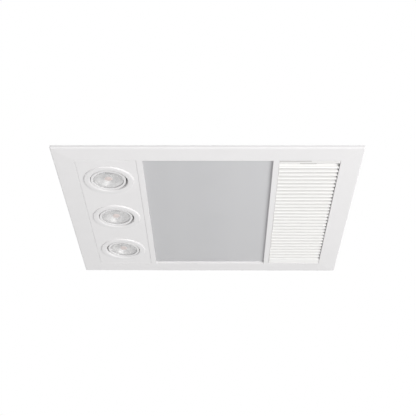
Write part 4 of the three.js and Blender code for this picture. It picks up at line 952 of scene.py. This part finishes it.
DRIVER_X, DRIVER_Y = -172, -5
DRIVER_OUTLINE = (DRIVER_X, DRIVER_Y, 45, 130, 3)
DRIVER_HEIGHTS = (84, 112)
DRIVER_SOFTNESS = 1.4
EAR_OUTLINE = (DRIVER_X, DRIVER_Y, 22.5, 150, 4)
EAR_HEIGHTS = (84, 86)
EAR_HOLES_OUT = 70
EAR_HOLE_RADIUS = 2.5

BOX_X, BOX_Y = -75, -135
LID_TOP = 122
LID_SCREWS_X, LID_SCREWS_Y = 39.5, 24.5
BLOCK_TOP = 102
POLES = 4
POLE_PITCH = 11.5

GLAND_PLACE = (-120, -135, 104)
FLUTES = 16
FLUTE_DEPTH = 0.025
FLUTED_RADIUS = 9.4
FLUTED_FROM = 6.1


def make_driver():
    bm = bmesh.new()
    add_slab(bm, round_rectangle(*DRIVER_OUTLINE), [], *DRIVER_HEIGHTS)
    soften(bm, DRIVER_SOFTNESS, segments=3, angle=60)
    ends = [DRIVER_Y + side * EAR_HOLES_OUT for side in (-1, 1)]
    ear_holes = [circle(DRIVER_X, y, EAR_HOLE_RADIUS, SMALL) for y in ends]
    add_slab(bm, round_rectangle(*EAR_OUTLINE), ear_holes, *EAR_HEIGHTS)
    place_piece(bm, "led_driver_smooth", "led_driver", ["led_driver"], crease=28)
    places = [(DRIVER_X, y, EAR_HEIGHTS[1]) for y in reversed(ends)]
    screw_heads("driver_screws", "led_driver", places, *DRIVER_SCREW)


def make_gland():
    """A hexagon nut, a fluted dome and the hole for a cable, on a threaded body."""
    bm = spun([(4.5, -7), (7.4, -7), (8, -6.4), (8, 6.0), (9.5, 6.2), (9.5, 11.6), (9.3, 12.7),
               (8.6, 13.8), (7.4, 14.7), (5.7, 15), (4.9, 14.8), (4.5, 14.2)])
    for vert in bm.verts:
        if math.hypot(vert.co.x, vert.co.y) > FLUTED_RADIUS * MM and vert.co.z > FLUTED_FROM * MM:
            flute = math.cos(FLUTES * math.atan2(vert.co.y, vert.co.x))
            pull_in(vert, FLUTE_DEPTH * (0.5 - 0.5 * flute))
    outward = Matrix.Translation(Vector(GLAND_PLACE) * MM) @ Matrix.Rotation(-math.pi / 2, 4, "Y")
    place_piece(moved(bm, outward), "cable_gland_smooth", "cable_gland", ["cable_gland"], crease=30)
    nut = spun([(8, 0), (10.3, 0), (11, 0.6), (11, 5.4), (10.3, 6), (8, 6)], steps=6)
    place_piece(moved(nut, outward), "cable_gland_nut", "cable_gland")


make_driver()
smooth_copy("terminal_box", 0.8)
smooth_copy("terminal_box_lid", 0.5)
smooth_copy("terminal_block", 0.4)
lid_corners = [(BOX_X + side_x * LID_SCREWS_X, BOX_Y + side_y * LID_SCREWS_Y, LID_TOP)
               for side_x in (-1, 1) for side_y in (-1, 1)]
screw_heads("lid_screws", "terminal_box_lid", lid_corners, *LID_SCREW)
pole_places = [(BOX_X + POLE_PITCH * (i - (POLES - 1) / 2), BOX_Y, BLOCK_TOP) for i in range(POLES)]
screw_heads("block_screws", "terminal_block", pole_places, *BLOCK_SCREW)
make_gland()


# ---- ceiling clamps ----

# Each clamp's number, and on which side in X and in Y it stands
CLAMP_SIDES = ((1, -1, 1), (2, 1, 1), (3, -1, -1), (4, 1, -1))
CLAMP_X, CLAMP_Y = 150, 189.8

SCREW_HEAD_RADIUS = 3.6
SCREW_HEAD_STEPS = 16
SCREW_SLOT_HALF = 0.5
SCREW_SLOT_HEIGHTS = (4.8, 5.8)
THREAD_RIDGE = ((1.5, 7.4), (2.0, 7.75), (1.5, 8.1))
THREAD_PITCH = 0.9
THREAD_TURNS = 54
THREAD_STEPS = 12

HUB_RADIUS = 5
HUB_STEPS = 16
TIP_X = 25
TIP_OUTLINE = (TIP_X, 0, 10, 8, 2)
ARM_HEIGHTS = (44, 50)
ARM_HOLE_RADIUS = 2.3
TOE_BOX = ((24.2, -3.8, 42), (29.8, 3.8, 46.5))


def clamp_place(side_x, side_y):
    turn = Matrix.Rotation(0 if side_y > 0 else math.pi, 4, "Z")
    return Matrix.Translation(Vector((side_x * CLAMP_X, side_y * CLAMP_Y, 0)) * MM) @ turn


def half_head(side):
    """One half of the screw's head, beside its slot."""
    edge = math.asin(SCREW_SLOT_HALF / SCREW_HEAD_RADIUS)
    sweep = math.pi - 2 * edge
    angles = [edge + sweep * step / SCREW_HEAD_STEPS for step in range(SCREW_HEAD_STEPS + 1)]
    return [(SCREW_HEAD_RADIUS * math.cos(a), side * SCREW_HEAD_RADIUS * math.sin(a)) for a in angles]


def make_clamp_screw(number, place):
    bm = spun([(0, 5.8), (3.6, 5.8), (3.6, 6.8), (2, 6.8), (1.6, 7.4), (1.6, 57.6), (0.9, 58.8), (0, 58.8)],
              steps=MEDIUM, closed=False)
    for side in (-1, 1):
        add_slab(bm, half_head(side), [], *SCREW_SLOT_HEIGHTS)
    ridge = [bm.verts.new((r * MM, 0, z * MM)) for r, z in THREAD_RIDGE]
    edges = [bm.edges.new(ridge[i:i + 2]) for i in range(2)]
    bmesh.ops.spin(bm, geom=ridge + edges, cent=(0, 0, 0), axis=(0, 0, 1),
                   dvec=(0, 0, THREAD_PITCH / THREAD_STEPS * MM), angle=2 * math.pi * THREAD_TURNS,
                   steps=THREAD_STEPS * THREAD_TURNS, use_merge=False, use_duplicate=False)
    name = "clamp_screw_%d" % number
    place_piece(moved(bm, place), name + "_threaded", name, [name], crease=50)


def make_clamp_arm(number, place):
    """A bar with a round hub, round corners at its tip and a toe that grips the board."""
    hub = [around(0, 0, HUB_RADIUS, math.pi * (0.5 + i / HUB_STEPS)) for i in range(HUB_STEPS + 1)]
    tip = [p for p in round_rectangle(*TIP_OUTLINE) if p[0] > TIP_X]
    start = [p for p in tip if p[1] < 0]
    stop = [p for p in tip if p[1] > 0]
    bm = bmesh.new()
    add_slab(bm, hub + start + stop, [circle(0, 0, ARM_HOLE_RADIUS, SMALL)], *ARM_HEIGHTS)
    soften(bm, 0.5, angle=50)
    toe = bmesh.new()
    add_box(toe, *TOE_BOX)
    join(bm, soften(toe, 0.6, angle=50))
    name = "ceiling_clamp_%d" % number
    place_piece(moved(bm, place), name + "_smooth", name, [name], crease=30)


for clamp_number, clamp_side_x, clamp_side_y in CLAMP_SIDES:
    clamp_seat = clamp_place(clamp_side_x, clamp_side_y)
    make_clamp_screw(clamp_number, clamp_seat)
    make_clamp_arm(clamp_number, clamp_seat)


# ---- heater, heat sinks and springs inside the housing ----

WIRE_RADIUS = 0.6
COIL_RADIUS = 2.4
COIL_RISE = 0.9
COIL_STEPS = 56
COIL_STOP = 5.5 * math.pi
TAIL_X = 33.3
TAIL_Y = 1.9
TAIL_LOW, TAIL_HIGH = 14.2, 20.8
LEG_SLOPE = math.radians(50)
LEG_FOOT_Z = 2.9
LEG_FOOT_LENGTH = 3


def spring_path():
    """A tail along the barrel, a coil round its stub and a leg that presses on the plate."""
    start = math.pi
    stop = COIL_STOP - LEG_SLOPE
    path = [(TAIL_X, TAIL_Y, TAIL_HIGH), (TAIL_X, TAIL_Y, TAIL_LOW)]
    for step in range(COIL_STEPS + 1):
        angle = start + (stop - start) * step / COIL_STEPS
        x, z = around(STUB_X, STUB_Z, COIL_RADIUS, angle)
        path.append((x, TAIL_Y + COIL_RISE * (angle - start) / math.pi, z))
    x, y, z = path[-1]
    foot_x = x + (z - LEG_FOOT_Z) / math.tan(LEG_SLOPE)
    return path + [(foot_x, y, LEG_FOOT_Z), (foot_x + LEG_FOOT_LENGTH, y, LEG_FOOT_Z)]


def make_springs(number):
    for side, turn in (("left", math.pi), ("right", 0)):
        bm = bmesh.new()
        add_sweep(bm, spring_path(), WIRE_RADIUS)
        name = "bezel_spring_%d_%s" % (number, side)
        matrix = lamp_seat(number) @ Matrix.Rotation(turn, 4, "Z")
        place_piece(moved(bm, matrix), name + "_wire", name, [name], crease=60)


for lamp_number in LAMPS:
    make_springs(lamp_number)
    smooth_copy("heat_sink_%d" % lamp_number, 0.25, segments=1)
smooth_copy("heater_glass", 0.5)
smooth_copy("glass_gasket", 0.3)
for side_name in ("left", "right"):
    smooth_copy("glass_rail_" + side_name, 0.2)
smooth_copy("reflector_tray", 0.2, segments=1, crease=30)
smooth_copy("thermal_cutout", 0.25, crease=40)
for tube_number in (1, 2):
    smooth_copy("heating_tube_%d" % tube_number, 0.4, crease=40)
    for end_name in ("far", "near"):
        smooth_copy("tube_holder_%d_%s" % (tube_number, end_name), 0.5)


# ---- every node takes its finish ----

for node_name, node in nodes.items():
    node.data.materials.clear()
    node.data.materials.append(MATERIALS[SLOT_OF[node_name]])


# ---- light, floor, ceiling and background, with lengths in metres ----

AMBIENT = 0.51
AMBIENT_COLOUR = (0.99, 0.99, 1.0)
KEY_POWER = 90
KEY_PLACE = (1.9, -2.1, -1.8)
KEY_SIZE = 2.0

# The floor: its paint, and how bright it is for the camera and for soft light
FLOOR_HEIGHT = -4.0
FLOOR_HALF = 12
FLOOR_GREY = (0.45, 0.45, 0.45)
FLOOR_SEEN = 0.72
FLOOR_SOFT = 0.34

CEILING_HEIGHT = 8 * MM
CEILING_REACH = 8.0
CUT_OUT_HALF = (235 * MM, 206.5 * MM)
CORNERS = ((-1, -1), (1, -1), (1, 1), (-1, 1))


def emptied_tree(owner):
    owner.use_nodes = True
    owner.node_tree.nodes.clear()
    return owner.node_tree


def even_light(tree, kind, strength, colour=(1, 1, 1)):
    """Light of one strength and colour, of the kind for a surface or for the world."""
    source = tree.nodes.new(kind)
    source.inputs["Color"].default_value = (*colour, 1)
    source.inputs["Strength"].default_value = strength
    return source.outputs[0]


def mixed_shader(tree, share, first, second):
    mix = tree.nodes.new("ShaderNodeMixShader")
    tree.links.new(share, mix.inputs["Fac"])
    tree.links.new(first, mix.inputs[1])
    tree.links.new(second, mix.inputs[2])
    return mix.outputs[0]


def put_out(tree, kind, shader):
    tree.links.new(shader, tree.nodes.new(kind).inputs["Surface"])


def background_share(tree):
    """One where the camera, a reflection or glass looks, and nothing for soft light."""
    path = tree.nodes.new("ShaderNodeLightPath")
    looks = [path.outputs["Is %s Ray" % kind] for kind in ("Camera", "Glossy", "Transmission")]
    return combined(tree, "MAXIMUM", looks)


def make_world():
    world = bpy.data.worlds.new("room")
    bpy.context.scene.world = world
    tree = emptied_tree(world)
    seen = even_light(tree, "ShaderNodeBackground", 1.0)
    soft = even_light(tree, "ShaderNodeBackground", AMBIENT, AMBIENT_COLOUR)
    put_out(tree, "ShaderNodeOutputWorld", mixed_shader(tree, background_share(tree), soft, seen))


def make_floor():
    bm = bmesh.new()
    bmesh.ops.create_grid(bm, x_segments=1, y_segments=1, size=FLOOR_HALF,
                          matrix=Matrix.Translation((0, 0, FLOOR_HEIGHT)))
    floor = mesh_object(bm, "floor")
    material = bpy.data.materials.new("floor_white")
    tree = emptied_tree(material)
    seen = even_light(tree, "ShaderNodeEmission", FLOOR_SEEN)
    soft = even_light(tree, "ShaderNodeEmission", FLOOR_SOFT)
    paint = tree.nodes.new("ShaderNodeBsdfDiffuse")
    paint.inputs["Color"].default_value = (*FLOOR_GREY, 1)
    add = tree.nodes.new("ShaderNodeAddShader")
    tree.links.new(mixed_shader(tree, background_share(tree), soft, seen), add.inputs[0])
    tree.links.new(paint.outputs[0], add.inputs[1])
    put_out(tree, "ShaderNodeOutputMaterial", add.outputs[0])
    floor.data.materials.append(material)


def ceiling_white():
    """White for the camera from below, and clear from above and for light."""
    material = bpy.data.materials.new("ceiling_white")
    tree = emptied_tree(material)
    path = tree.nodes.new("ShaderNodeLightPath")
    side = tree.nodes.new("ShaderNodeNewGeometry")
    front = math_step(tree, "SUBTRACT", path.outputs["Is Camera Ray"], side.outputs["Backfacing"])
    front.node.use_clamp = True
    clear = tree.nodes.new("ShaderNodeBsdfTransparent").outputs[0]
    white = even_light(tree, "ShaderNodeEmission", 1.0)
    put_out(tree, "ShaderNodeOutputMaterial", mixed_shader(tree, front, clear, white))
    return material


def make_ceiling():
    """A white ceiling round the cut-out, seen only from below, which hides what lies above it."""
    bm = bmesh.new()
    inner_x, inner_y = CUT_OUT_HALF
    outer = [bm.verts.new((x * CEILING_REACH, y * CEILING_REACH, CEILING_HEIGHT)) for x, y in CORNERS]
    inner = [bm.verts.new((x * inner_x, y * inner_y, CEILING_HEIGHT)) for x, y in CORNERS]
    for i in range(4):
        j = (i + 1) % 4
        bm.faces.new((outer[i], inner[i], inner[j], outer[j]))
    ceiling = mesh_object(bm, "ceiling")
    ceiling.data.materials.append(ceiling_white())


def add_lamp(name, place, target, size, power):
    data = bpy.data.lights.new(name, "AREA")
    data.shape = "SQUARE"
    data.size = size
    data.energy = power
    light = bpy.data.objects.new(name, data)
    light.visible_camera = False
    aim = (Vector(target) - Vector(place)).to_track_quat("-Z", "Y").to_matrix().to_4x4()
    light.matrix_world = Matrix.Translation(place) @ aim
    bpy.context.scene.collection.objects.link(light)


make_world()
make_floor()
make_ceiling()
add_lamp("key_light", KEY_PLACE, (0, 0, 0), KEY_SIZE, KEY_POWER)
bpy.context.scene.view_settings.view_transform = "Standard"
